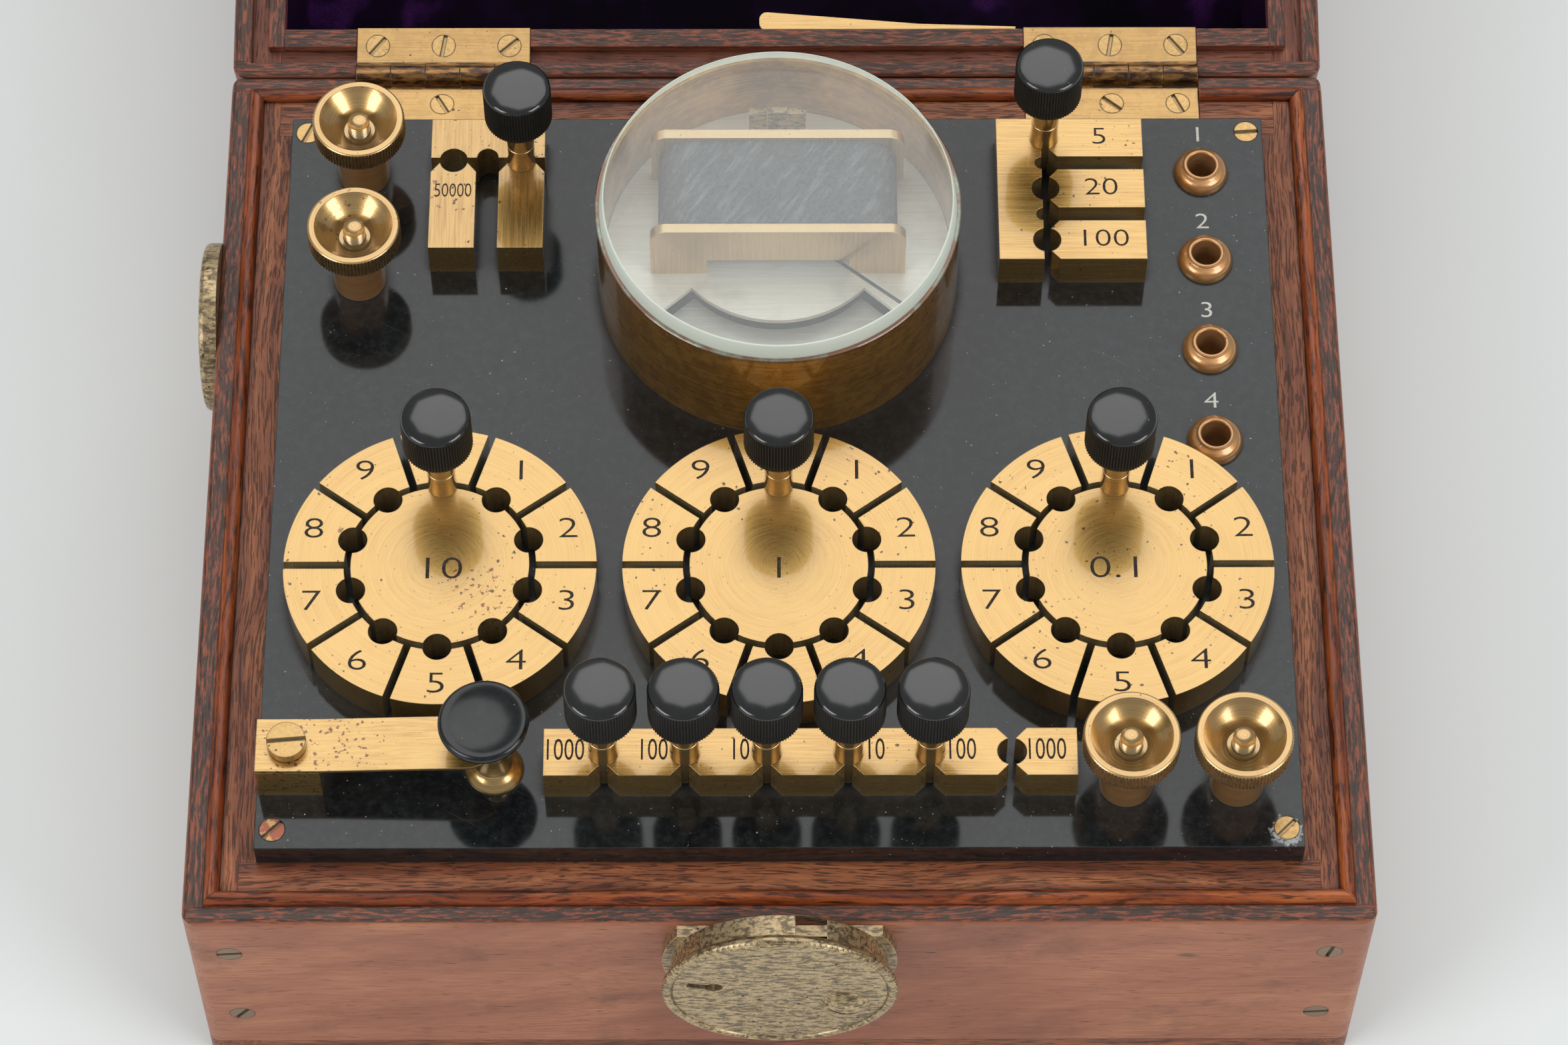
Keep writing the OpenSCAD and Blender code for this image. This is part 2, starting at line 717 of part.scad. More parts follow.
// Ratio row: seven blocks with slanted corners at the gaps
ratio_last = 13.2;
module ratio_blocks() {
    w = ring_gap + 0.15;
    color(brass) difference() {
        translate([-ratio_left, ratio_y, top_z])
            cube([ratio_hole(5) + ratio_last + ratio_left, ratio_d, block_h]);
        for (i = [0:5]) {
            plug_hole(ratio_hole(i), ratio_mid);
            translate([ratio_hole(i), ratio_mid, top_z - e]) linear_extrude(block_h + 2 * e) {
                square([w, ratio_d + 2 * e], center = true);
                for (s = [-1, 1]) scale([1, s]) polygon([[-w / 2, ratio_d / 2 - vee - 0.1],
                    [w / 2, ratio_d / 2 - vee - 0.1], [w / 2 + vee + e, ratio_d / 2 + e],
                    [-w / 2 - vee - e, ratio_d / 2 + e]]);
            }
        }
        block_screw_holes();
    }
}

// Shunt bar and its three blocks
shunt_bar_len = 2 * shunt_pitch + shunt_w;
relief_r = 1.5;
module shunt_blocks() {
    color(brass) difference() {
        union() {
            translate([shunt_x, shunt_back - shunt_bar_len, top_z])
                cube([shunt_bar_w, shunt_bar_len, block_h]);
            for (i = [0:2]) translate([shunt_block_x, shunt_hole_y(i), top_z]) linear_extrude(block_h)
                polygon([[0, -shunt_w / 2 + vee], [vee - 0.2, -shunt_w / 2], [shunt_len, -shunt_w / 2],
                    [shunt_len, shunt_w / 2], [vee - 0.2, shunt_w / 2], [0, shunt_w / 2 - vee]]);
        }
        for (i = [0:2]) plug_hole(shunt_hole_x, shunt_hole_y(i));
        for (i = [0:1])
            translate([shunt_x + shunt_bar_w, (shunt_hole_y(i) + shunt_hole_y(i + 1)) / 2, top_z - e])
                cylinder(h = block_h + 2 * e, r = relief_r);
        block_screw_holes();
    }
}

// Insulation bar and its two blocks
module insulation_blocks() {
    left = ins_hole_x(1) - ins_w / 2;
    color(brass) difference() {
        union() {
            translate([left, ins_hole_y + ring_gap / 2, top_z]) cube([ins_right - left, ins_bar_d, block_h]);
            for (i = [0, 1]) translate([ins_hole_x(i), ins_front, top_z]) linear_extrude(block_h)
                polygon([[-ins_w / 2, 0], [ins_w / 2, 0], [ins_w / 2, ins_len - vee],
                    [ins_w / 2 - vee + 0.4, ins_len], [-ins_w / 2 + vee - 0.4, ins_len],
                    [-ins_w / 2, ins_len - vee]]);
        }
        for (i = [0, 1]) plug_hole(ins_hole_x(i), ins_hole_y);
        translate([(ins_hole_x(0) + ins_hole_x(1)) / 2, ins_hole_y + ring_gap / 2, top_z - e])
            cylinder(h = block_h + 2 * e, r = 2.3);
        block_screw_holes();
    }
}

// Terminals and sockets
module at_terminals() {
    for (i = [0, 1]) translate([earth_x, earth_y(i), top_z]) children();
    for (i = [0, 1]) translate([bridge_x(i), bridge_y, top_z]) children();
}

module at_sockets() {
    for (i = [0:3]) translate([socket_x, socket_y(i), top_z]) children();
}

tail_len = 6;
module terminal_posts() {
    color(brass) at_terminals() {
        cylinder(h = post_h, r = post_r);
        translate([0, 0, post_h - e]) cylinder(h = head_h - 0.2 + e, r = stud_r);
        translate([0, 0, -panel_t - tail_len]) cylinder(h = panel_t + tail_len + e, r = post_tail_r);
        translate([0, 0, -panel_t - 3]) difference() {
            cylinder(h = 3, r = 4.5, $fn = 6);
            translate([0, 0, -e]) cylinder(h = 3 + 2 * e, r = post_tail_r + screw_fit);
        }
    }
}

// Milled head with a conical dish, its foot on the post
dish_d = 4.6;
module terminal_nut(x, y) {
    color(brass) translate([x, y, top_z + post_h]) rotate_extrude() polygon([[stud_r + 0.07, 0],
        [head_r - 0.25, 0], [head_r, 0.25], [head_r, head_h - 0.4], [head_r - 0.4, head_h],
        [head_r - 1.4, head_h], [stud_r + 0.9, head_h - dish_d], [stud_r + 0.07, head_h - dish_d]]);
}

module test_sockets() {
    color(brass) at_sockets() {
        rotate_extrude() {
            difference() {
                union() {
                    polygon([[hole_r, 0], [socket_r, 0], [socket_r, 0.7], [socket_r - 0.5, 1.5],
                        [socket_r - 1.4, 2.3], [hole_r + 0.8, socket_h - 0.4], [hole_r + 0.5, socket_h],
                        [hole_r, socket_h]]);
                    translate([0, socket_h - socket_depth - 1.5])
                        square([socket_barrel_r, socket_depth - socket_h + 1.5]);
                }
                translate([0, socket_h - socket_depth]) square([hole_r, socket_depth + e]);
            }
        }
        translate([0, 0, -panel_t - 2.5]) difference() {
            cylinder(h = 2.5, r = 6.5, $fn = 6);
            translate([0, 0, -e]) cylinder(h = 2.5 + 2 * e, r = socket_barrel_r + screw_fit);
        }
    }
}

// Tapping key
module key_pillar() {
    color(brass) difference() {
        translate([key_left, key_y - arm_w / 2, top_z]) cube([pillar_len, arm_w, pillar_h]);
        translate([key_screw_x, key_y, key_z - key_screw_len])
            cylinder(h = key_screw_len + e, r = key_screw_r + screw_fit);
        block_screw_holes();
    }
}

anvil_r = 6;
anvil_h = pillar_h + arm_rise(contact_x) - contact_h - key_gap;
module key_anvil() {
    color(brass) difference() {
        translate([contact_x, key_y, top_z]) rotate_extrude() difference() {
            square([anvil_r, anvil_h]);
            translate([anvil_r + 0.5, anvil_h - 1.2 + 0.5]) circle(r = anvil_r - 2 + 0.3);
            translate([2.6, anvil_h - 1.5]) square([anvil_r, 2]);
        }
        block_screw_holes();
    }
}

// The arm lies flat on its pillar and rises beyond it; what it carries is tilted with it
function arm_rise(x) = (x - key_edge) * tan(arm_bend);
module on_arm() {
    translate([key_edge, key_y, key_z]) rotate([0, -arm_bend, 0]) translate([-key_edge, 0, 0]) children();
}

module key_arm() {
    rise = arm_rise(key_tip);
    color(brass) difference() {
        union() {
            intersection() {
                translate([0, key_y + arm_w, key_z]) rotate([90, 0, 0]) linear_extrude(2 * arm_w)
                    polygon([[key_left, 0], [key_edge, 0], [key_tip, rise], [key_tip, rise + arm_t],
                        [key_edge, arm_t], [key_left, arm_t]]);
                translate([0, key_y, key_z - e]) linear_extrude(rise + arm_t + 2 * e) {
                    translate([key_left, -arm_w / 2]) square([arm_len, arm_w]);
                    translate([key_end, 0]) circle(arm_w / 2);
                }
            }
            on_arm() translate([contact_x, 0, -contact_h]) cylinder(h = contact_h + arm_t / 2, r = 1.4);
        }
        translate([key_screw_x, key_y, key_z - e]) cylinder(h = arm_t + 2 * e, r = key_screw_r + 0.4);
    }
}

key_knob_x = key_end + 4.1;
stem_r = 2.4;
module key_knob() {
    top = key_knob_top - pillar_h - arm_t - arm_rise(key_knob_x);
    color(ebonite) on_arm() translate([key_knob_x, 0, arm_t]) rotate_extrude() polygon([[0, 0], [stem_r, 0],
        [stem_r, top - 4.6], [4.2, top - 3.2], [key_knob_r - 0.6, top - 2.4], [key_knob_r, top - 1.9],
        [key_knob_r, top - 0.8], [key_knob_r - 0.25, top - 0.25], [key_knob_r - 0.8, top],
        [key_knob_r - 1.9, top - 0.25], [key_knob_r - 4.4, top - 0.8], [0, top - 1]]);
}

// Galvanometer
module meter_drum() {
    seat = dial_plate_z - dial_plate_t;
    color(brass) translate([0, meter_y, top_z]) rotate_extrude() polygon([[drum_in - shoulder, 0],
        [meter_r, 0], [meter_r, meter_h - 0.2], [meter_r - 0.2, meter_h], [glass_r + screw_fit, meter_h],
        [glass_r + screw_fit, glass_z - top_z], [drum_in, glass_z - top_z], [drum_in, seat],
        [drum_in - shoulder, seat]]);
}

// Thick glass that stands above the drum, its ground edge drawn in a little and bevelled at the top
module meter_glass() {
    color("lightcyan", 0.35) translate([0, meter_y, glass_z]) rotate_extrude()
        polygon([[0, 0], [glass_r, 0], [glass_r, glass_t - glass_rise + 0.1],
            [glass_r - 0.65, glass_t - 0.35], [glass_r - 1, glass_t], [0, glass_t]]);
}

// Window of the scale: a ring sector about the needle's pivot, inside the drum
module window_outline(grow) {
    far = 1.5 * meter_r;
    intersection() {
        difference() {
            translate([0, meter_y]) circle(drum_in - 2.2 + grow);
            translate([0, coil_y]) circle(window_r - grow);
        }
        translate([0, coil_y]) polygon([[0, 0], far * [-sin(window_half), -cos(window_half)],
            [-far, -2 * far], [far, -2 * far], far * [sin(window_half), -cos(window_half)]]);
    }
}

module meter_dial_plate() {
    color("silver") translate([0, 0, plate_z - dial_plate_t]) linear_extrude(dial_plate_t) difference() {
        translate([0, meter_y]) circle(drum_in - screw_fit);
        window_outline(0);
    }
}

// Carrier block under the window, with a mirror face
mirror_drop = 3.8;
module scale_mirror() {
    color("gainsboro") translate([0, 0, top_z]) linear_extrude(dial_plate_z - dial_plate_t - mirror_drop)
        intersection() {
            window_outline(0.8);
            translate([0, meter_y]) circle(drum_in - shoulder - 0.3);
        }
}

module coil_outline(w, h, r) {
    translate([-w / 2, 0]) square([w, h - r]);
    translate([-w / 2 + r, 0]) square([w - 2 * r, h]);
    for (s = [-1, 1]) translate([s * (w / 2 - r), h - r]) circle(r);
}

module chamber() {
    translate([-chamber_w / 2, -e]) square([chamber_w, chamber_h + e]);
}

module coil_cheeks() {
    color(brass) for (y = [coil_y - coil_len / 2, coil_y + coil_len / 2 + cheek_t])
        translate([0, y, plate_z]) rotate([90, 0, 0]) linear_extrude(cheek_t) difference() {
            coil_outline(cheek_w, cheek_h, cheek_r);
            chamber();
        }
}

module coil_winding() {
    color("#2a2a2c") translate([0, coil_y + coil_len / 2, plate_z]) rotate([90, 0, 0])
        linear_extrude(coil_len) difference() {
            coil_outline(coil_w, coil_h, coil_h / 2);
            chamber();
        }
}

// Upright clamp behind the coil: a slotted steel strip between two brass uprights, and the needle's pivot
bracket_y = meter_y + 29.9;
bracket_h = 9.3;
strip_half = 2.15;
upright_w = 3.85;
pivot_r = 0.3;
hub_h = 1.4;
hub_hole = 1;
module needle_bracket() {
    color("#8f8f8c") difference() {
        translate([-strip_half, bracket_y, plate_z]) cube([2 * strip_half, 1.5, bracket_h]);
        for (z = [4, 6.5]) translate([0, bracket_y - e, plate_z + z]) rotate([-90, 0, 0])
            cylinder(h = 3, r = 0.7);
    }
    color(dark_brass) for (s = [0, 1]) mirror([s, 0, 0])
        translate([strip_half + 0.1, bracket_y, plate_z]) cube([upright_w, 1.5, bracket_h - 0.5]);
    color(brass) translate([0, needle_y, plate_z]) {
        cylinder(h = 1.4, r = 1.2);
        cylinder(h = needle_z - plate_z + hub_hole - 0.3, r = pivot_r);
    }
}

// Magnet with its pointer, turned to where it lies in the photograph
pointer_len = 36;
module needle() {
    color("#303840") translate([0, needle_y, needle_z]) rotate([0, 0, needle_rest]) difference() {
        union() {
            cylinder(h = hub_h, r = 1.3);
            translate([-8, -1.2, 0.2]) cube([16, 2.4, 0.8]);
            translate([-0.3, -pointer_len, 0.9]) cube([0.6, pointer_len, 0.4]);
        }
        translate([0, 0, -e]) cylinder(h = e + hub_hole, r = pivot_r + screw_fit);
    }
}

// Hinges. The lid's knuckles are the odd ones
module leaf(first) {
    difference() {
        union() {
            translate([-hinge_len / 2, -leaf_w, -leaf_t]) cube([hinge_len, leaf_w - knuckle_clear, leaf_t]);
            for (i = [first:2:knuckles - 1])
                translate([-hinge_len / 2 + i * knuckle_len + gap / 2, 0, 0]) {
                    rotate([0, 90, 0]) cylinder(h = knuckle_len - gap, r = knuckle_r);
                    translate([0, -knuckle_clear - e, -leaf_t])
                        cube([knuckle_len - gap, knuckle_clear + e, leaf_t]);
                }
        }
        translate([-hinge_len, 0, 0]) rotate([0, 90, 0]) cylinder(h = 2 * hinge_len, r = pin_r + pin_fit);
        for (i = [-1, 0, 1]) translate([i * leaf_pitch, leaf_screw_y - pin_y, 0])
            screw_hole(leaf_screw_len, screw_r);
    }
}

module hinge_base_leaves() {
    color(brass) for (s = [-1, 1]) translate([s * hinge_x, pin_y, rim_z]) leaf(1);
}

module hinge_pins() {
    color(dark_brass) for (s = [-1, 1]) translate([s * hinge_x - hinge_len / 2, pin_y, rim_z])
        rotate([0, 90, 0]) cylinder(h = hinge_len, r = pin_r);
}

// Lid: drawn shut on the case and turned open about the hinge pins
module opened() {
    translate([0, pin_y, rim_z]) rotate([-lid_open, 0, 0]) translate([0, -pin_y, -rim_z]) children();
}

module lid_top() {
    color(wood) opened() difference() {
        translate([0, 0, rim_z + lid_wall_h]) linear_extrude(lid_top_t)
            rounded_rect(case_w, case_d, corner_r);
        translate([0, 0, rim_z + lid_h]) top_edge_cuts(case_w, case_d, lid_edge_r);
    }
}

module lid_rebate() {
    inside_rim(-groove_fit, rim_z - e, groove_d + e);
    translate([0, 0, rim_z]) mirror([0, 0, 1]) top_edge_cuts(case_w, case_d, edge_r);
    mirror_rim() hinge_seats();
    mirror_rim() at_leaf_screws(lid_leaf_turns) screw_hole(leaf_screw_len, screw_r);
    at_board_screws(lid_screw_z) screw_hole(board_screw_len, screw_r);
}

// Mirrors about the plane of the rim, for what lies alike in case and lid
module mirror_rim() {
    translate([0, 0, rim_z]) mirror([0, 0, 1]) translate([0, 0, -rim_z]) children();
}

module lid_walls() {
    color(wood) opened() difference() {
        translate([0, 0, rim_z]) linear_extrude(lid_wall_h) {
            for (s = [0, 1]) mirror([0, s, 0]) front_board_plan(lid_board_t, joint);
            for (s = [0, 1]) mirror([s, 0, 0]) side_board_plan(lid_board_t, joint);
        }
        lid_rebate();
    }
}

// Inner strips of the lid, inside the groove: the side strips run past the ends of the other two
module lid_strips() {
    inner = lid_board_t + velvet_side_t;
    left = -case_w / 2 + inner;
    front = bead_front + groove_fit;
    back = bead_back - groove_fit;
    color(dark_wood) opened() difference() {
        translate([0, 0, rim_z]) linear_extrude(groove_d) {
            for (s = [0, 1]) mirror([s, 0, 0]) translate([-case_w / 2 + rim_w + bead_w + groove_fit, front])
                square([inner - rim_w - bead_w - groove_fit, back - front]);
            translate([left + joint, front]) square([-2 * (left + joint), front_y + inner - front]);
            translate([left + joint, back_y - inner]) square([-2 * (left + joint), back - back_y + inner]);
        }
        mirror_rim() hinge_seats();
        mirror_rim() at_leaf_screws(lid_leaf_turns) screw_hole(leaf_screw_len, screw_r);
    }
}

// Velvet lining as five panels: the top and the four sides, which end behind the inner strips
module lid_lining() {
    in_w = case_w - 2 * lid_board_t;
    in_d = case_d - 2 * lid_board_t;
    side_low = groove_d + joint;
    side_h = lid_wall_h - velvet_t - side_low - joint;
    color("#35104f") opened() {
        translate([-in_w / 2, -in_d / 2, rim_z + lid_wall_h - velvet_t]) cube([in_w, in_d, velvet_t]);
        for (s = [0, 1]) mirror([0, s, 0]) translate([-in_w / 2, -in_d / 2, rim_z + side_low])
            cube([in_w, velvet_side_t, side_h]);
        for (s = [0, 1]) mirror([s, 0, 0])
            translate([-in_w / 2, velvet_side_t + joint - in_d / 2, rim_z + side_low])
                cube([velvet_side_t, in_d - 2 * velvet_side_t - 2 * joint, side_h]);
    }
}

module hinge_lid_leaves() {
    color(brass) opened() mirror_rim() for (s = [-1, 1]) translate([s * hinge_x, pin_y, rim_z]) leaf(0);
}

module lid_screws() {
    color(brass) opened() {
        mirror_rim() at_leaf_screws(lid_leaf_turns) flush_screw(leaf_screw_len, screw_r);
        at_board_screws(lid_screw_z) flush_screw(board_screw_len, screw_r);
    }
}

// Hasp on the lid: a plate on the front board, an arm forward and a hooked tongue that drops into the lock
plate_low = 13;
plate_high = 34;
plate_w = 16;
plate_t = 1.6;
hasp_reach = 8.6;
module lid_hasp() {
    color(dark_brass) opened() difference() {
        union() {
            translate([slot_x - plate_w / 2, front_y - plate_t, rim_z + plate_low])
                cube([plate_w, plate_t, plate_high - plate_low]);
            translate([tongue_left, tongue_y - tongue_t, rim_z + plate_low])
                cube([tongue_w, front_y - tongue_y + tongue_t - 0.8, 3]);
            translate([tongue_left, tongue_y - tongue_t, rim_z - hasp_reach])
                cube([tongue_w, tongue_t, hasp_reach + plate_low + 1]);
        }
        translate([tongue_left - e, tongue_y - tongue_t - e, bolt_z - 0.4])
            cube([notch_d + e, tongue_t + 2 * e, bolt_h + 0.8]);
    }
}

// Flat brass blade that lies in the lid along the velvet of the hinge side, clear of the shut meter drum.
// Its left end is round and broad, and it narrows in two steps towards its right end
blade_len = 57.4;
blade_left = -3.9;
blade_tip = 3.4;
blade_t = 1.2;
blade_corner = 1.7;
blade_clear = 0.1;
drum_clear = 0.35;
panel_clear = 0.9;
module lid_blade() {
    y = back_y - lid_board_t - velvet_side_t - blade_clear;
    w = y - meter_y - meter_r - drum_clear;
    low = w - 2 * blade_corner - 1;
    c = blade_corner;
    color("#e8cf9a") opened() translate([blade_left, y, rim_z + panel_t + panel_clear])
        linear_extrude(blade_t) polygon(concat(
            [for (a = [90:15:180]) [c + c * cos(a), -low - c + c * sin(a)]],
            [for (a = [180:15:270]) [c + c * cos(a), c - w + c * sin(a)]],
            [[0.62 * blade_len, -blade_tip - 0.7], [blade_len, -blade_tip], [blade_len, 0],
             [blade_len / 5, 0]]));
}

// Lock
module lock_case() {
    color(dark_brass) difference() {
        union() {
            intersection() {
                translate([0, front_y, lock_z]) rotate([90, 0, 0]) cylinder(h = flange_t, r = lock_r);
                translate([-lock_r, flange_y - e, rim_z - 3 * lock_r - 1])
                    cube([2 * lock_r, flange_t + 2 * e, 3 * lock_r]);
            }
            translate([0, flange_y + 0.2, lock_z]) rotate([90, 0, 0]) difference() {
                cylinder(h = barrel_d + 0.2, r = barrel_r);
                translate([0, 0, -e]) cylinder(h = barrel_d + 2 * e, r = barrel_r - barrel_wall);
            }
        }
        translate([slot_x - slot_w / 2, cover_y - e, lock_z + 10]) cube([slot_w, barrel_d + e, 30]);
        translate([-lock_r - e, flange_y + 0.01, rim_z - 1]) cube([2 * lock_r + 2 * e, flange_t + e, lock_r]);
    }
}

keyhole_x = -13.4;
keyhole_z = 2.4;
keyhole_r = 1.85;
keyhole_turn = 168;
lock_screw_r = 5.3;
lock_screw_x = 13.2;
lock_screw_z = -5.85;
lock_screw_turn = -12;
lock_shank_r = 1.5;
dome_r = 7.5;
dome_h = 2.2;
// Front disc with a rounded milled rim, a ring groove inside it and the keyhole
module lock_cover() {
    color(dark_brass) translate([0, cover_y, lock_z]) rotate([90, 0, 0]) difference() {
        rotate_extrude() polygon([[0, 0], [lock_r - 1.3, 0], [lock_r - 0.5, 0.3], [lock_r, 1.1],
            [lock_r, cover_t - 0.5], [lock_r - 0.4, cover_t + 0.25], [lock_r - 1.1, cover_t + 0.5],
            [lock_r - 1.7, cover_t + 0.2], [lock_r - 1.9, cover_t - 0.3], [lock_r - 2.2, cover_t],
            [0, cover_t]]);
        translate([keyhole_x, keyhole_z, -e]) {
            cylinder(h = cover_t + 2 * e, r = keyhole_r);
            rotate([0, 0, keyhole_turn]) translate([0, -keyhole_r / 2 - 0.1, 0])
                cube([3 * keyhole_r, keyhole_r + 0.2, cover_t + 2 * e]);
        }
        translate([lock_screw_x, lock_screw_z, -e])
            cylinder(h = cover_t + 2 * e, r = lock_shank_r + screw_fit);
    }
}

module lock_screw() {
    color(brass) translate([lock_screw_x, cover_y - cover_t, lock_z + lock_screw_z]) rotate([90, 0, 0])
        difference() {
            union() {
                intersection() {
                    translate([0, 0, dome_h - dome_r]) sphere(r = dome_r);
                    cylinder(h = 2 * dome_h, r = lock_screw_r);
                }
                translate([0, 0, -cover_t - barrel_d + 0.3])
                    cylinder(h = cover_t + barrel_d, r = lock_shank_r);
            }
            rotate([0, 0, lock_screw_turn]) translate([-dome_r, -slot_cut / 2, dome_h - 1])
                cube([2 * dome_r, slot_cut, 2]);
        }
}

module lock_bolt() {
    color(dark_brass) translate([tongue_left - 0.5 - bolt_len, flange_y - 0.3 - bolt_t, bolt_z])
        cube([bolt_len, bolt_t, bolt_h]);
}

module side_boss() {
    color(dark_brass) translate([-case_w / 2, meter_y, lock_z]) rotate([0, -90, 0]) rotate_extrude()
        polygon([[0, 0], [boss_r, 0], [boss_r, boss_t - 1], [boss_r - 0.3, boss_t - 0.3],
            [boss_r - 1, boss_t], [0, boss_t]]);
}

// Plug: brass shank in its hole, with a spigot in the blind bore of the ebonite knob, as two solids
tip_gap = 0.6;
spigot_r = 2;
spigot_h = 4.9;
module plug(x, y) {
    knob_z = top_z + block_h + shank_show;
    collar_z = top_z + block_h + joint;
    translate([x, y, 0]) {
        color(brass) {
            translate([0, 0, top_z + tip_gap]) cylinder(h = block_h - tip_gap + 1, r = hole_r - plug_fit);
            translate([0, 0, collar_z]) cylinder(h = knob_z - joint - collar_z, r = hole_r + 0.15);
            translate([0, 0, knob_z - 1]) cylinder(h = 1 + spigot_h, r = spigot_r);
        }
        color(ebonite) translate([0, 0, knob_z]) rotate_extrude() polygon([[spigot_r + 0.03, 0],
            [knob_r - 0.3, 0], [knob_r, 0.3], [knob_r, knob_h - 1], [knob_r - 0.3, knob_h - 0.8],
            [knob_r - 1.2, knob_h - 0.35], [knob_r - 2.6, knob_h - 0.1], [0, knob_h], [0, spigot_h + joint],
            [spigot_r + 0.03, spigot_h + joint]]);
    }
}

case_front();
case_back();
case_sides();
case_base();
ledge_strips();
bead_moulding();
brass_screws();
panel();
decade_hubs();
tens_blocks();
units_blocks();
tenths_blocks();
ratio_blocks();
shunt_blocks();
insulation_blocks();
terminal_posts();
test_sockets();
key_pillar();
key_anvil();
meter_drum();
meter_glass();
meter_dial_plate();
coil_cheeks();
coil_winding();
needle_bracket();
scale_mirror();
resistance_coils();
block_screws();
hinge_base_leaves();
hinge_pins();
lock_case();
lock_cover();
lock_screw();
side_boss();
lid_top();
lid_walls();
lid_strips();
lid_lining();
hinge_lid_leaves();
lid_screws();
lid_hasp();
lid_blade();
lock_bolt();
key_arm();
key_knob();
needle();
terminal_nut(earth_x, earth_y(0));  // nut_earth_1
terminal_nut(earth_x, earth_y(1));  // nut_earth_2
terminal_nut(bridge_x(1), bridge_y);  // nut_bridge_1
terminal_nut(bridge_x(0), bridge_y);  // nut_bridge_2
plug(-dial_pitch, hub_y + hole_ring);  // plug_tens
plug(0, hub_y + hole_ring);  // plug_units
plug(dial_pitch, hub_y + hole_ring);  // plug_tenths
plug(ratio_hole(0), ratio_mid);  // plug_ratio_1
plug(ratio_hole(1), ratio_mid);  // plug_ratio_2
plug(ratio_hole(2), ratio_mid);  // plug_ratio_3
plug(ratio_hole(3), ratio_mid);  // plug_ratio_4
plug(ratio_hole(4), ratio_mid);  // plug_ratio_5
plug(shunt_hole_x, shunt_hole_y(0));  // plug_shunt
plug(ins_hole_x(0), ins_hole_y);  // plug_insulation
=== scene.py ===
import json
from math import atan2, cos, degrees, hypot, pi, radians, sin, tan, tau

import bmesh
import bpy
from mathutils import Matrix, Vector


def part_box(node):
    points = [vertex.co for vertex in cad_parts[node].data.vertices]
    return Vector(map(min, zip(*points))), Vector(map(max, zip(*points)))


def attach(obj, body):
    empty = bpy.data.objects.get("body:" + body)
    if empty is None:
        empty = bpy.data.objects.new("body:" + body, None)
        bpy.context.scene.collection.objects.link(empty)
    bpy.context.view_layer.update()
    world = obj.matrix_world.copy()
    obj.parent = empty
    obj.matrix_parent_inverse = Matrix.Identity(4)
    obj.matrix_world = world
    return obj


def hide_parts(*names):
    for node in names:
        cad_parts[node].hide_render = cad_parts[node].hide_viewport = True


# A portable line test set: mahogany case, hard rubber panel, lacquered brass blocks and plugs.
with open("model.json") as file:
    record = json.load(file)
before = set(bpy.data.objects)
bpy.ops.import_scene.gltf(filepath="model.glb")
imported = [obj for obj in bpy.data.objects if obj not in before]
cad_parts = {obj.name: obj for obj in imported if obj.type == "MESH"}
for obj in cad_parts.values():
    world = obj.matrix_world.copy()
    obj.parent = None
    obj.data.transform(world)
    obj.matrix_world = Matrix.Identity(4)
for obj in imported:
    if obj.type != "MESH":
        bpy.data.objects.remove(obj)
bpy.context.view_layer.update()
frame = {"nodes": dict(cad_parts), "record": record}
NODES = frame["nodes"]
MOUNTS = {m["name"]: m for m in frame["record"]["mounts"]}
MM = 0.001


# Sizes read from the frame, in millimetres, and sizes that it doesn't give
def box_of(node):
    low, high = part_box(node)
    return [v / MM for v in low], [v / MM for v in high]


def centre_of(node):
    low, high = box_of(node)
    return [(a + b) / 2 for a, b in zip(low, high)]


def radius_of(node):
    low, high = box_of(node)
    return (high[0] - low[0]) / 2


PANEL_TOP = box_of("panel")[1][2]
PANEL_FRONT = box_of("panel")[0][1]
PANEL_BACK = box_of("panel")[1][1]
PANEL_X = box_of("panel")[1][0]
RIM_Z = box_of("case_front")[1][2]
FRONT_Y = box_of("case_front")[0][1]
BACK_Y = box_of("case_back")[1][1]
CASE_X = box_of("case_front")[1][0]
PANEL_MIDDLE = (PANEL_BACK + PANEL_FRONT) / 2
HUB_Y = centre_of("units_blocks")[1]
DIAL_PITCH = centre_of("tenths_blocks")[0] - centre_of("units_blocks")[0]
BLOCK_TOP = box_of("units_blocks")[1][2]
PLUGS = [n for n in NODES if n.startswith("plug_")]
NUTS = [n for n in NODES if n.startswith("nut_")]
SOCKETS = ["socket_" + letter for letter in "abcd"]
LID_OPEN = radians(167)
LID_WALL = 10.4
LID_LAP = 3.7
STRIP_SEAM = 109.5
LID_STRIP_SEAM = 109.35
SCREW_INSET = 3.6


# Materials
def linear(code):
    """sRGB hex to linear colour."""
    values = [int(code[i:i + 2], 16) / 255 for i in (1, 3, 5)]
    return [v / 12.92 if v <= 0.04045 else ((v + 0.055) / 1.055) ** 2.4 for v in values] + [1.0]


def add(tree, kind, inputs=(), **settings):
    """Adds a node. Its inputs, by number or name, are values, nodes, sockets or colour codes."""
    made = tree.nodes.new("ShaderNode" + kind)
    for name, value in settings.items():
        setattr(made, name, value)
    for place, value in inputs.items() if isinstance(inputs, dict) else enumerate(inputs):
        if isinstance(value, bpy.types.Node):
            value = value.outputs[0]
        if isinstance(value, bpy.types.NodeSocket):
            tree.links.new(value, made.inputs[place])
        elif value is not None:
            made.inputs[place].default_value = linear(value) if isinstance(value, str) else value
    return made


def new_material(name, **sockets):
    """A Principled material; sockets are constants on the shader, with _ for a space."""
    made = bpy.data.materials.new(name)
    made.use_nodes = True
    shader = made.node_tree.nodes["Principled BSDF"]
    for key, value in sockets.items():
        socket = shader.inputs[key.replace("_", " ")]
        socket.default_value = linear(value) if isinstance(value, str) else value
    return made, made.node_tree, shader


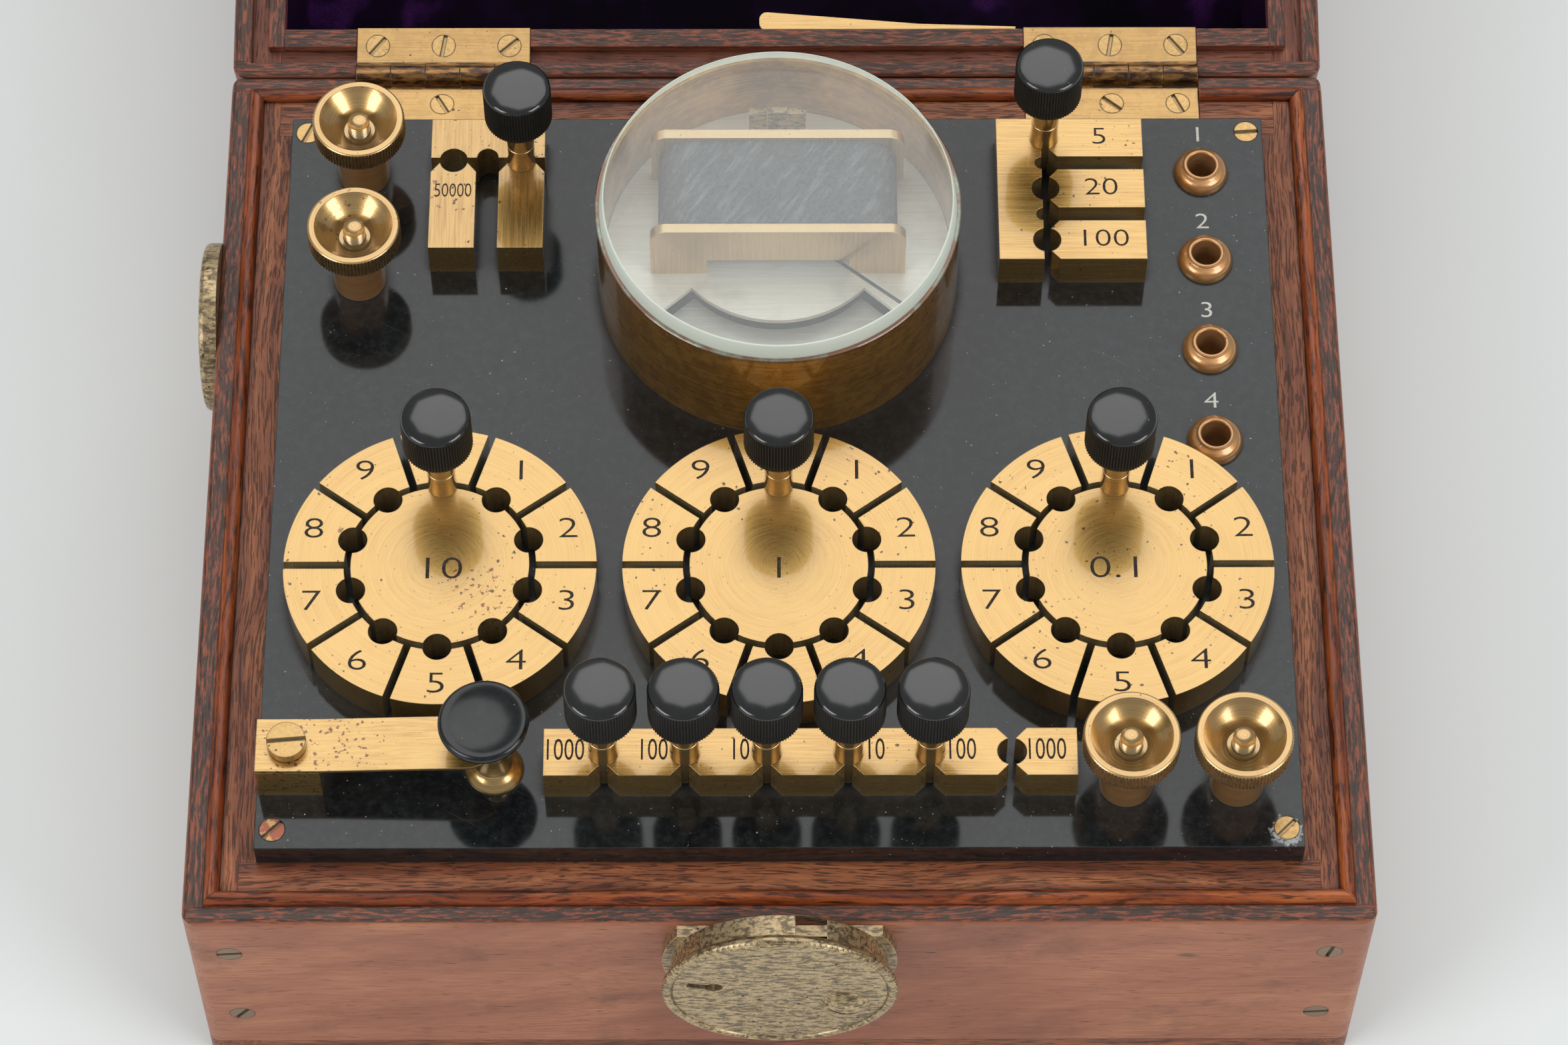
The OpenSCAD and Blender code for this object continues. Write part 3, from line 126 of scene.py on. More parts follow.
def over(tree, colour, second, pattern, low=0.0, high=1.0, share=1.0):
    """Lays a second colour on the first: none where the pattern is low, its full share where it is high."""
    cover = add(tree, "MapRange", {"Value": pattern, "From Min": low, "From Max": high, "To Max": share})
    return add(tree, "Mix", {0: cover, 6: colour, 7: second}, data_type="RGBA").outputs[2]


def texture(tree, place, size, detail=3.0, rough=0.6):
    """Soft irregular patches about as long, wide and high as the size in millimetres."""
    scaled = add(tree, "Mapping", {"Vector": place, "Scale": [1 / s for s in size]})
    return add(tree, "TexNoise", {"Vector": scaled, "Scale": 1.0, "Detail": detail, "Roughness": rough})


def total(tree, *terms):
    """The sum of terms, each a pattern with a factor, and of plain numbers."""
    result = None
    for term in terms:
        if isinstance(term, tuple):
            term = add(tree, "Math", list(term), operation="MULTIPLY")
        result = term if result is None else add(tree, "Math", [result, term], operation="ADD")
    return result


def in_mm(tree, lid=False):
    """Object coordinates in millimetres; for the lid, where it lies when it is shut."""
    coords = add(tree, "TexCoord").outputs["Object"]
    if not lid:
        return add(tree, "Mapping", {"Vector": coords, "Scale": (1000, 1000, 1000)})
    pin = Vector((0, BACK_Y, RIM_Z))
    away = pin - Matrix.Rotation(LID_OPEN, 3, "X") @ pin
    return add(tree, "Mapping", {"Vector": coords, "Scale": (1000, 1000, 1000), "Rotation": (LID_OPEN, 0, 0),
                                 "Location": away})


def softened(tree, radius_mm):
    """The normal of a face rounded at its edges."""
    return add(tree, "Bevel", {"Radius": radius_mm * MM}, samples=6)


def edges(tree, rounded):
    """1 at sharp edges, 0 on flats, from the angle between the face and a rounded face."""
    flat = add(tree, "NewGeometry").outputs["Normal"]
    match = add(tree, "VectorMath", [rounded, flat], operation="DOT_PRODUCT").outputs["Value"]
    return add(tree, "MapRange", {"Value": match, "From Min": 0.995, "From Max": 0.86})


def near(tree, place, centre, radius):
    """1 at a point, falling to 0 at a distance."""
    gap = add(tree, "VectorMath", [place, centre], operation="DISTANCE").outputs["Value"]
    return add(tree, "MapRange", {"Value": gap, "From Min": radius, "From Max": radius * 0.4})


def specks(tree, place, apart, widest, patchy=None):
    """Small ragged dots: distance apart and widest radius in millimetres, sparse where patchy is low."""
    cell = add(tree, "TexVoronoi", {"Vector": place, "Scale": 1 / apart, "Randomness": 1.0})
    ragged = texture(tree, place, (0.7 * apart, 0.7 * apart, 0.7 * apart), 2.0)
    reach = add(tree, "MapRange", {"Value": ragged, "From Min": 0.42, "From Max": 0.75,
                                   "To Max": widest / apart})
    if patchy is not None:
        reach = add(tree, "Math", [reach, patchy], operation="MULTIPLY")
    inside = add(tree, "Math", [reach, cell.outputs["Distance"]], operation="SUBTRACT")
    return add(tree, "MapRange", {"Value": inside, "From Min": 0.0, "From Max": 0.08})


# Brush lines on brass. They are drawn about 0.3 mm apart, coarser than the real ones, so that they show.
BRUSH = {"x": (14, 0.33, 0.33), "y": (0.33, 14, 0.33), "z": (0.33, 0.33, 14), "round": (14, 14, 0.3),
         "none": (0.8, 0.8, 0.8)}
RINGS_PER_MM = 4.5
TURNS_PER_MM = 3.5


def dial_lines(tree, place):
    """Rings about each hub, which repeat at the pitch of the dials, and the way they run."""
    apart = add(tree, "SeparateXYZ", [place])
    shifted = total(tree, apart.outputs["X"], 1.5 * DIAL_PITCH)
    wrapped = add(tree, "Math", [shifted, DIAL_PITCH], operation="FLOORED_MODULO")
    off_x = total(tree, wrapped, -DIAL_PITCH / 2)
    off_y = total(tree, apart.outputs["Y"], -HUB_Y)
    flat = add(tree, "CombineXYZ", [off_x, off_y])
    far = add(tree, "VectorMath", [flat], operation="LENGTH").outputs["Value"]
    way = add(tree, "SeparateXYZ", [add(tree, "VectorMath", [flat], operation="NORMALIZE")])
    lines = add(tree, "CombineXYZ", [total(tree, (far, RINGS_PER_MM)), way.outputs["X"], way.outputs["Y"]])
    tangent = add(tree, "CombineXYZ", [total(tree, (off_y, -1.0)), off_x])
    return lines, tangent.outputs[0]


def lathe_lines(tree):
    """Lines round a turned piece, from the radius and height that its mesh keeps, and the way they run."""
    lathe = add(tree, "Attribute", attribute_name="lathe").outputs["Vector"]
    lines = add(tree, "Mapping", {"Vector": lathe, "Scale": (TURNS_PER_MM, TURNS_PER_MM, 1.0)})
    around = add(tree, "Attribute", attribute_name="around")
    return lines, around.outputs["Vector"]


def straight_lines(tree, place, brush):
    """Lines along one axis. They run level round the faces, so reflections are drawn out across them."""
    lines = add(tree, "Mapping", {"Vector": place, "Scale": [1 / s for s in BRUSH[brush]]})
    # each of these leans a little, so that it is never square to a face and the product is never nothing
    across = {"x": (0.05, 1, 0.9), "y": (1, 0.05, 0.9)}.get(brush, (0.05, 0.03, 1))
    normal = add(tree, "NewGeometry").outputs["Normal"]
    level = add(tree, "VectorMath", [normal, across], operation="CROSS_PRODUCT")
    return lines, level.outputs[0]


def spotted(tree, place, colour, marks):
    """Lays spots on a colour: centre, radius, colour, share, and how far apart its dots are, or 0."""
    for centre, radius, code, share, apart in marks:
        if apart:
            mark = specks(tree, place, apart, 0.75 * apart, near(tree, place, centre, radius))
        else:
            broken = texture(tree, place, (1.6, 1.6, 1.6), 4.0)
            both = add(tree, "Math", [near(tree, place, centre, radius), broken], operation="MULTIPLY")
            mark = add(tree, "MapRange", {"Value": both, "From Min": 0.4, "From Max": 0.45})
        colour = over(tree, colour, code, mark, share=share)
    return colour


def bronzed(tree, place, colour):
    """Darkens the rolled knuckles, which lie within 3.5 mm of the hinges' axis."""
    apart = add(tree, "SeparateXYZ", [place])
    off = add(tree, "CombineXYZ", [None, total(tree, apart.outputs["Y"], -BACK_Y),
                                   total(tree, apart.outputs["Z"], -RIM_Z)])
    far = add(tree, "VectorMath", [off], operation="LENGTH").outputs["Value"]
    bronze = over(tree, "#4a3020", "#a8783e", texture(tree, place, (4, 1.2, 1.2), 5.0), 0.42, 0.6)
    return over(tree, colour, bronze, far, 3.6, 3.3)


# Brass, turned or drawn, then brushed and lacquered
def brass(name, light="#dbb269", dark="#b98a44", spot="#4c2c1a", brush="x", pits=0.4, rough=0.27,
          edge_mm=0.25, edge="#f8e0ac", edge_share=0.35, stains=0.0, stain="#4a3020", stain_mm=(3, 3, 3),
          marks=(), knuckle=False, weathered=False, lip=None, grime=0.9, glint=0.0, lacquer=1.0,
          streaks=0.34, metal=0.88):
    """Fine lines under a clear coat that mirrors the lights, brown pits where the lacquer has gone, and a
    painted highlight along the edges."""
    made, tree, shader = new_material(name, Metallic=1.0, Roughness=rough, Anisotropic=glint,
                                      Coat_Weight=lacquer, Coat_Roughness=0.07, Coat_IOR=1.7)
    place = in_mm(tree)
    if brush == "dial":
        lines, way = dial_lines(tree, place)
    elif brush == "lathe":
        lines, way = lathe_lines(tree)
    else:
        lines, way = straight_lines(tree, place, brush)
    tree.links.new(way, shader.inputs["Tangent"])
    grain = add(tree, "TexNoise", {"Vector": lines, "Scale": 1.0, "Detail": 4.0, "Roughness": 0.7})
    cloud = texture(tree, place, (11, 11, 11))
    colour = over(tree, dark, light, grain, streaks, 0.6)
    colour = over(tree, colour, light, cloud, 0.4, 0.75, 0.7)
    # pits, most of them under 0.5 mm across, in patches some 15 mm wide, and finer ones all over
    patch = texture(tree, place, (15, 15, 15), 2.0)
    dense = add(tree, "MapRange", {"Value": patch, "From Min": 0.62 - 0.35 * pits,
                                   "From Max": 0.82 - 0.3 * pits})
    fine = specks(tree, place, 1.3, 0.36)
    pitted = specks(tree, place, 1.7, 0.75, dense)
    colour = over(tree, colour, spot, fine, share=0.7)
    colour = over(tree, colour, spot, pitted, share=0.85)
    if stains:
        cast = texture(tree, place, stain_mm, 6.0, 0.7)
        colour = over(tree, colour, stain, cast, 0.47, 0.56, stains)
    colour = spotted(tree, place, colour, marks)
    if knuckle:
        colour = bronzed(tree, place, colour)
    if weathered:
        # the screws in the outer faces are grey-brown
        y = add(tree, "SeparateXYZ", [place]).outputs["Y"]
        colour = over(tree, colour, "#7d6248", y, FRONT_Y + 3, FRONT_Y + 2, 0.9)
    if lip is not None:
        # the top edge of the tube: red-brown, with verdigris in places
        z = add(tree, "SeparateXYZ", [place]).outputs["Z"]
        crust = over(tree, "#6b4638", "#86a89c", texture(tree, place, (9, 9, 9), 5.0), 0.5, 0.62, 0.8)
        colour = over(tree, colour, crust, z, lip - 0.8, lip - 0.3, 0.9)
    rounded = softened(tree, edge_mm)
    # painted light along the edges: a pale painted highlight, and on the screws a dark painted shade of the
    # gap round the head
    colour = over(tree, colour, edge, edges(tree, rounded), share=edge_share)
    # grey-green grime deep in holes and gaps, which is not metal
    deep = add(tree, "AmbientOcclusion", {"Distance": 6 * MM}, samples=6).outputs["AO"]
    colour = over(tree, colour, "#8a8770", deep, 0.46, 0.25, grime)
    clean = add(tree, "MapRange", {"Value": deep, "From Min": 0.25, "From Max": 0.46,
                                    "To Min": metal * (1.0 - grime), "To Max": metal})
    tree.links.new(clean.outputs[0], shader.inputs["Metallic"])
    tree.links.new(colour, shader.inputs["Base Color"])
    finish = total(tree, (grain, 0.12), (pitted, 0.3), rough - 0.06)
    tree.links.new(finish.outputs[0], shader.inputs["Roughness"])
    height = total(tree, grain, (pitted, -0.6))
    bump = add(tree, "Bump", {"Strength": 0.18, "Distance": 0.00003, "Height": height, "Normal": rounded})
    tree.links.new(bump.outputs[0], shader.inputs["Normal"])
    return made


def runs_along_x(tree, x, y, seam, reach, middle, lap):
    """1 where a board's grain runs along x: between the seams beyond the reach, or beyond the lap."""
    wide = add(tree, "Math", [x], operation="ABSOLUTE")
    between = add(tree, "Math", [wide, seam], operation="LESS_THAN")
    from_middle = add(tree, "Math", [total(tree, y, -middle)], operation="ABSOLUTE")
    beyond = add(tree, "Math", [from_middle, reach], operation="GREATER_THAN")
    both = add(tree, "Math", [between, beyond], operation="MULTIPLY")
    lapped = add(tree, "Math", [add(tree, "Math", [y], operation="ABSOLUTE"), lap], operation="GREATER_THAN")
    return add(tree, "Math", [both, lapped], operation="MAXIMUM")


def mitred(tree, x, y):
    """1 where a frame's grain runs along x, changing at the mitres."""
    off_x = total(tree, add(tree, "Math", [x], operation="ABSOLUTE"), -CASE_X)
    off_y = total(tree, add(tree, "Math", [y], operation="ABSOLUTE"), -BACK_Y)
    return add(tree, "Math", [off_y, off_x], operation="GREATER_THAN")


# Mahogany boards and mouldings under old shellac
def mahogany(name, light, middle, dark, grain="x", lid=False, rough=0.42, pores=0.5, stains=0.3,
             pore="#23100b", rim=None, edge="#9a4c34", edge_mm=1.0, dirt_and_shade=1.6, flames=0.0,
             figured=(70, 3.2, 3.2), slant=0.0, dents=0.0):
    """Red-brown wood with short dark pores. On the rim it is nearly black with wax and dirt, and worn back
    to red in streaks."""
    made, tree, shader = new_material(name, Roughness=rough)
    place = in_mm(tree, lid)
    apart = add(tree, "SeparateXYZ", [place])
    x, y, z = apart.outputs
    swapped = add(tree, "CombineXYZ", [y, x, z])
    if grain == "x":
        along = place
    elif grain == "y":
        along = swapped
    else:
        lengthwise = mitred(tree, x, y) if grain == "mitre" else runs_along_x(tree, x, y, *grain)
        along = add(tree, "Mix", {0: lengthwise, 4: swapped, 5: place}, data_type="VECTOR").outputs[1]
    # the grain wanders by a few millimetres over 45 mm
    wander = texture(tree, along, (45, 45, 45), 1.0)
    bent = add(tree, "VectorMath", {0: wander.outputs["Color"], 1: (0, 6, 6), 2: along},
               operation="MULTIPLY_ADD")
    leaning = add(tree, "Mapping", {"Vector": bent, "Rotation": (0, slant, 0)})
    figure = texture(tree, leaning, figured, 5.0)
    colour = over(tree, dark, middle, figure, 0.32, 0.5)
    colour = over(tree, colour, light, figure, 0.5, 0.68)
    # fibres 0.5 mm apart, pores 0.36 mm wide and up to 5.5 mm long
    fibre = texture(tree, bent, (14, 0.5, 0.5), 3.0, 0.7)
    pit = texture(tree, bent, (5.5, 0.36, 0.36), 2.0, 0.5)
    tight = 0.68 - 0.16 * pores
    colour = over(tree, colour, dark, fibre, 0.42, 0.66, 0.6)
    if flames:
        colour = over(tree, colour, pore, texture(tree, bent, (8, 1.0, 1.0), 4.0, 0.65), 0.5, 0.62, flames)
    colour = over(tree, colour, pore, pit, tight, tight + 0.06, 0.7)
    blotch = texture(tree, place, (16, 16, 16), 6.0, 0.62)
    colour = over(tree, colour, pore, blotch, 0.55, 0.72, stains)
    if dents:
        # dark dents up to 3 mm wide and 8 mm apart, longer with the grain
        longer = add(tree, "Mapping", {"Vector": along, "Scale": (0.4, 1, 1)})
        colour = over(tree, colour, "#4a382e", specks(tree, longer, 8, 1.5), share=dents)
    if rim:
        low, high = rim
        worn = texture(tree, bent, (4.0, 0.55, 0.55), 5.0, 0.66)
        black = over(tree, "#3a2a24", "#5f463b", fibre, 0.4, 0.65)
        black = over(tree, black, "#a4573b", worn, 0.49, 0.6, 0.85)
        black = over(tree, black, "#8d8a84", specks(tree, place, 2.4, 0.4), share=0.5)
        colour = over(tree, colour, black, z, low, high)
    rounded = softened(tree, 0.5 if rough > 0.3 else 0.3)
    broken = texture(tree, place, (2.8, 2.8, 2.8), 4.0)
    rubbed = add(tree, "Math", [edges(tree, softened(tree, edge_mm)), broken], operation="MULTIPLY")
    colour = over(tree, colour, edge, rubbed, 0.42, 0.56, 0.75)
    if dirt_and_shade:
        # painted shade, with some dirt, near black in the corners
        shaded_corner = add(tree, "AmbientOcclusion", {"Distance": dirt_and_shade * MM}, samples=6).outputs["AO"]
        colour = over(tree, colour, "#1b1210", shaded_corner, 0.8, 0.35, 0.85)
    tree.links.new(colour, shader.inputs["Base Color"])
    finish = total(tree, (fibre, 0.25), (pit, 0.12), rough - 0.16)
    tree.links.new(finish.outputs[0], shader.inputs["Roughness"])
    hole = add(tree, "MapRange", {"Value": pit, "From Min": tight, "From Max": tight + 0.06})
    height = total(tree, (fibre, 0.3), (hole, -1.0))
    bump = add(tree, "Bump", {"Strength": 0.5, "Distance": 0.00012, "Height": height, "Normal": rounded})
    tree.links.new(bump.outputs[0], shader.inputs["Normal"])
    return made


# Hard rubber, moulded and once polished: nearly black with a grey bloom, pale dust and hairline scratches
def hard_rubber(name, base="#131516", bloom="#1c2022", rough=0.3, dust=0.5, scratches=0.3, marks=(), ior=1.6):
    made, tree, shader = new_material(name, Roughness=rough, IOR=ior)
    place = in_mm(tree)
    cloud = texture(tree, place, (30, 30, 30), 5.0)
    colour = over(tree, base, bloom, cloud, 0.35, 0.7)
    film = texture(tree, place, (2.2, 2.2, 2.2), 8.0, 0.8)
    colour = over(tree, colour, "#7c8286", film, 0.45, 0.8, 0.16 * dust)
    grit = specks(tree, place, 1.5, 0.3)
    colour = over(tree, colour, "#b4b9ba", grit, share=dust)
    colour = over(tree, colour, "#9aa0a2", specks(tree, place, 0.8, 0.13), share=dust)
    slanted = add(tree, "Mapping", {"Vector": place, "Rotation": (0, 0, 0.5)})
    line = texture(tree, slanted, (40, 0.4, 0.4), 2.0)
    colour = over(tree, colour, "#53595c", line, 0.7, 0.76, scratches)
    for centre, radius, code, share in marks:
        broken = texture(tree, place, (1.2, 1.2, 1.2), 5.0, 0.7)
        mark = add(tree, "Math", [near(tree, place, centre, radius), broken], operation="MULTIPLY")
        colour = over(tree, colour, code, mark, 0.42, 0.5, share)
    tree.links.new(colour, shader.inputs["Base Color"])
    # duller deep in gaps, where it was never polished
    shut = add(tree, "AmbientOcclusion", {"Distance": 4 * MM}, samples=6).outputs["AO"]
    dull = add(tree, "MapRange", {"Value": shut, "From Min": 0.75, "From Max": 0.45, "To Max": 0.7})
    finish = total(tree, dull, (cloud, 0.1), (grit, 0.3), rough - 0.05)
    tree.links.new(finish.outputs[0], shader.inputs["Roughness"])
    bump = add(tree, "Bump", {"Strength": 0.2, "Distance": 0.00005, "Height": grit,
                              "Normal": softened(tree, 0.3)})
    tree.links.new(bump.outputs[0], shader.inputs["Normal"])
    return made


# Silk velvet, woven: nearly black along the pile, purple at grazing angles, with painted sheen in patches
# where the nap is brushed back and a painted highlight where it turns over at the rim
def velvet(name):
    made, tree, shader = new_material(name, Roughness=0.95, Sheen_Weight=0.22, Sheen_Roughness=0.3,
                                      Specular_IOR_Level=0.1, Sheen_Tint="#6a2a84")
    place = in_mm(tree, True)
    nap_and_sheen = texture(tree, place, (24, 24, 24), 3.0)
    # the pile is drawn 0.5 mm wide, coarser than the real one, so that it shows
    pile = texture(tree, place, (0.5, 0.5, 0.5), 3.0)
    colour = over(tree, "#0b040f", "#1c0828", nap_and_sheen, 0.4, 0.6)
    # brighter purple patches: painted sheen where the nap is brushed back
    colour = over(tree, colour, "#54246a", nap_and_sheen, 0.6, 0.72, 0.8)
    # painted highlight where it turns over at the rim
    z = add(tree, "SeparateXYZ", [place]).outputs["Z"]
    colour = over(tree, colour, "#7d4c74", z, RIM_Z + 5.2, RIM_Z + 3.4)
    colour = over(tree, colour, "#0f0616", pile, 0.35, 0.75, 0.6)
    tree.links.new(colour, shader.inputs["Base Color"])
    bump = add(tree, "Bump", {"Strength": 0.8, "Distance": 0.0004, "Height": pile})
    tree.links.new(bump.outputs[0], shader.inputs["Normal"])
    return made


# Silvered brass, rubbed matt in straight strokes: pale and even, a little yellowed in patches
def silvered(name, base="#fafaf4", shade="#ecece4", rough=0.4):
    made, tree, shader = new_material(name, Metallic=0.25, Roughness=rough)
    place = in_mm(tree)
    strokes = texture(tree, place, (20, 0.4, 0.4), 4.0)
    colour = over(tree, shade, base, strokes, 0.35, 0.65)
    colour = over(tree, colour, "#aea898", texture(tree, place, (8, 8, 8), 5.0), 0.52, 0.75, 0.4)
    tree.links.new(colour, shader.inputs["Base Color"])
    finish = total(tree, (strokes, 0.14), rough - 0.07)
    tree.links.new(finish.outputs[0], shader.inputs["Roughness"])
    return made


# Plate glass: clear with a dusty veil on its face, finely ground and pale green-grey at its edge
def plate_glass(name, **sockets):
    made, tree, shader = new_material(name, IOR=1.5, **sockets)
    dust = specks(tree, in_mm(tree), 2.2, 0.3)
    colour = over(tree, sockets["Base_Color"], "#9aa3a0", dust, share=0.5)
    tree.links.new(colour, shader.inputs["Base Color"])
    # most of the light that casts a shadow goes through, so that the dial below is lit
    shade = add(tree, "LightPath").outputs["Is Shadow Ray"]
    tree.links.new(total(tree, (shade, -0.97), 1.0).outputs[0], shader.inputs["Alpha"])
    return made


# Waxed black cloth, woven and wound over the coil: dull, with slanting creases
def covered_coil(name):
    made, tree, shader = new_material(name, Roughness=0.6)
    place = in_mm(tree)
    # threads 0.45 mm apart
    weave = texture(tree, place, (0.45, 0.45, 0.45), 4.0)
    slanted = add(tree, "Mapping", {"Vector": place, "Rotation": (0, 0, 0.6)})
    crease = texture(tree, slanted, (1.2, 9, 1.2), 4.0)
    colour = over(tree, "#48484d", "#6a6a70", weave, 0.35, 0.7)
    colour = over(tree, colour, "#88888e", crease, 0.5, 0.7, 0.6)
    tree.links.new(colour, shader.inputs["Base Color"])
    height = total(tree, weave, (crease, 2.5))
    bump = add(tree, "Bump", {"Strength": 0.8, "Distance": 0.0004, "Height": height})
    tree.links.new(bump.outputs[0], shader.inputs["Normal"])
    return made


# Engraving filled with black wax in brass, or with white paint in hard rubber: matt and a little crumbled
def filling(name, code, crumbs):
    made, tree, shader = new_material(name, Roughness=0.7)
    colour = over(tree, code, crumbs, texture(tree, in_mm(tree), (0.35, 0.35, 0.35), 3.0), 0.45, 0.8, 0.7)
    tree.links.new(colour, shader.inputs["Base Color"])
    return made


def screw_at(i, side):
    """The middle of a panel screw: side is -1 or 1, i is 0 in front and 1 at the back."""
    y = PANEL_FRONT + SCREW_INSET if i == 0 else PANEL_BACK - SCREW_INSET
    return (side * (PANEL_X - SCREW_INSET), y, PANEL_TOP)


# Where the lacquer has gone in spots
KEY_LOW, KEY_HIGH = box_of("key_arm")
EARTH = centre_of("nut_earth_2")
DIAL_SPOTS = [((-DIAL_PITCH + 8, HUB_Y - 7, BLOCK_TOP), 14, "#7a3c20", 0.9, 1.3),
              ((-DIAL_PITCH - 20, HUB_Y + 6, BLOCK_TOP), 5, "#7a4034", 0.8, 2.2)]
ARM_SPOTS = [((KEY_LOW[0] + 12, KEY_LOW[1] + 5, KEY_HIGH[2] - 2), 22, "#6a3c2a", 0.9, 1.3),
             ((98, KEY_LOW[1], BLOCK_TOP), 14, "#7a5648", 0.8, 1.5)]
INSULATION_SPOTS = [((-78, 62, BLOCK_TOP), 14, "#8a5c48", 0.8, 1.8)]
EARTH_SPOTS = [((EARTH[0] - 4, EARTH[1] + 5, EARTH[2]), 9, "#6e4a3c", 0.6, 1.3)]
SCREW_SPOTS = [(screw_at(0, -1), 9, "#96503c", 0.95, 0)]

# Brass: rings of light on the turned dials, streaks on the brushed blocks, bright bands on the polished
# pieces, a copper cast on the posts and dull brown mottling on the lock
BRASS_DIAL = brass("lacquered brass, turned", brush="dial", pits=0.7, glint=0.3, edge_mm=0.2, rough=0.28,
                   streaks=0.2, marks=DIAL_SPOTS)
BRASS_X = brass("lacquered brass, brushed along", brush="x", pits=0.55, glint=0.5, marks=ARM_SPOTS)
BRASS_Y = brass("lacquered brass, brushed across", light="#cda664", dark="#a67c3e", brush="y", pits=0.7,
                glint=0.5, marks=INSULATION_SPOTS)
BRASS_TURNED = brass("lacquered brass, polished", light="#ddb574", dark="#b48c4c", brush="lathe", pits=0.3,
                     rough=0.24, glint=0.65, edge_mm=0.15, marks=EARTH_SPOTS)
BRASS_POST = brass("brass rod, copper brown", light="#e2a869", dark="#bd8048", brush="lathe", pits=0.2,
                   rough=0.3, glint=0.8, metal=0.7, edge_mm=0.15)
BRASS_HINGE = brass("rolled brass, rubbed", light="#d2a96a", dark="#b88d50", brush="x", pits=0.45, rough=0.34,
                    lacquer=0.4, spot="#5a3c26", stains=0.25, stain="#a07a4c", knuckle=True)
BRASS_MILLED = brass("lacquered brass, milled, with dirt in the milling", light="#a5844f", dark="#5c4226",
                     brush="none", pits=0.3, rough=0.4, edge_mm=0.15)
BRASS_DRUM = brass("brass tube, lacquered", light="#d6a04c", dark="#9c6424", brush="round", pits=0.5,
                   rough=0.3, glint=0.85, grime=0.0, metal=0.7, stains=0.35, stain="#7a4a1c",
                   lip=box_of("meter_drum")[1][2])
BRASS_AGED = brass("brass, browned", light="#d6be94", dark="#aa9068", spot="#2c2016", brush="none", pits=0.9,
                   rough=0.42, lacquer=0.2, stains=0.75, stain="#4c4136", stain_mm=(2.4, 1.0, 0.8))
# the dark colour at the edges of the screw heads is painted shade of the gap round them
BRASS_SCREW = brass("brass screw", light="#d8b070", dark="#b08a50", brush="none", pits=0.6, rough=0.32,
                    edge_mm=0.35, edge="#3c2e1e", edge_share=0.85, lacquer=0.4, marks=SCREW_SPOTS,
                    weathered=True)
BRASS_CHEEK = brass("brass plate, pale", light="#e0bd8a", dark="#c8a470", brush="z", pits=0.1, rough=0.36,
                    grime=0.0)

STRIPS = (STRIP_SEAM, (PANEL_BACK - PANEL_FRONT) / 2, PANEL_MIDDLE, 1000)
LID_STRIPS = (LID_STRIP_SEAM, 0, 0, 1000)
LID_BOARDS = (CASE_X - LID_WALL, BACK_Y - LID_WALL, 0, BACK_Y - LID_LAP)
RIM = (RIM_Z - 0.5, RIM_Z - 0.15)
# Mahogany: broad clouds on the front board, stripes along the other boards and strips, flames on the bead
WOOD_FRONT = mahogany("mahogany board, front", "#bd7c58", "#ac6a4c", "#92563e", pores=0.1, stains=0.35,
                      rough=0.4, dents=0.7, figured=(45, 12, 12), slant=0.3, rim=RIM, dirt_and_shade=0.0)
WOOD_SIDE = mahogany("mahogany board, side", "#a8684c", "#90543c", "#70402c", grain="y", pores=0.3,
                     stains=0.3, dents=0.7, rim=RIM, dirt_and_shade=0.0)
WOOD_STRIP = mahogany("mahogany strip", "#be7648", "#9e5a36", "#64321e", pores=0.9, stains=0.3, grain=STRIPS)
WOOD_BEAD = mahogany("mahogany bead", "#c26a32", "#9c4a20", "#642a12", grain="mitre", pores=0.3, stains=0.3,
                     rough=0.3, edge="#c47038", flames=0.8, dirt_and_shade=1.2)
WOOD_LID = mahogany("mahogany lid", "#b5765a", "#955843", "#6c3c2c", lid=True, pores=0.5, stains=0.3,
                    grain=LID_BOARDS, rim=(RIM_Z + 0.5, RIM_Z + 0.15))
WOOD_GROOVE = mahogany("mahogany strip of the lid", "#b0704e", "#8e5038", "#643424", lid=True, pores=0.6,
                       stains=0.3, grain=LID_STRIPS, rim=(RIM_Z + 0.4, RIM_Z + 0.1))

# Hard rubber: a dim mirror on the panel, crisp pale reflections on the knobs, dull and dusty in the milling
RUBBER_PANEL = hard_rubber("hard rubber panel", rough=0.09, dust=0.8, scratches=0.4,
                           marks=[(screw_at(0, 1), 6.5, "#b8bcbc", 0.8)])
RUBBER_KNOB = hard_rubber("hard rubber, polished", base="#0c0c0d", bloom="#131314", rough=0.13, dust=0.25,
                          scratches=0.0, ior=1.85)
RUBBER_MILLED = hard_rubber("hard rubber, milled", base="#16150f", bloom="#26231c", rough=0.45, dust=0.4,
                            scratches=0.0)
RUBBER_KEY = hard_rubber("hard rubber, dished", base="#0e0f11", bloom="#131517", rough=0.22, dust=0.5,
                         scratches=0.1)

# Stuffs and plates: deep velvet, matt silvered brass under clear glass with a milky ground edge, dull cloth
VELVET = velvet("silk velvet")
SILVER = silvered("silvered plate")
MIRROR = silvered("scale mirror", base="#dededc", shade="#cacac6", rough=0.25)
GLASS = plate_glass("plate glass", Transmission_Weight=0.94, Roughness=0.0, Base_Color="#f4f8f6")
GROUND_GLASS = plate_glass("plate glass, ground edge", Transmission_Weight=0.15, Roughness=0.35,
                           Base_Color="#eef6ea")
COIL = covered_coil("waxed cloth")
BLUED = new_material("blued steel", Metallic=1.0, Roughness=0.35, Base_Color="#3a424a")[0]
WAX = filling("black wax", "#1c130c", "#6a5a44")
WHITE_PAINT = filling("white paint", "#dcdad0", "#8a8a86")

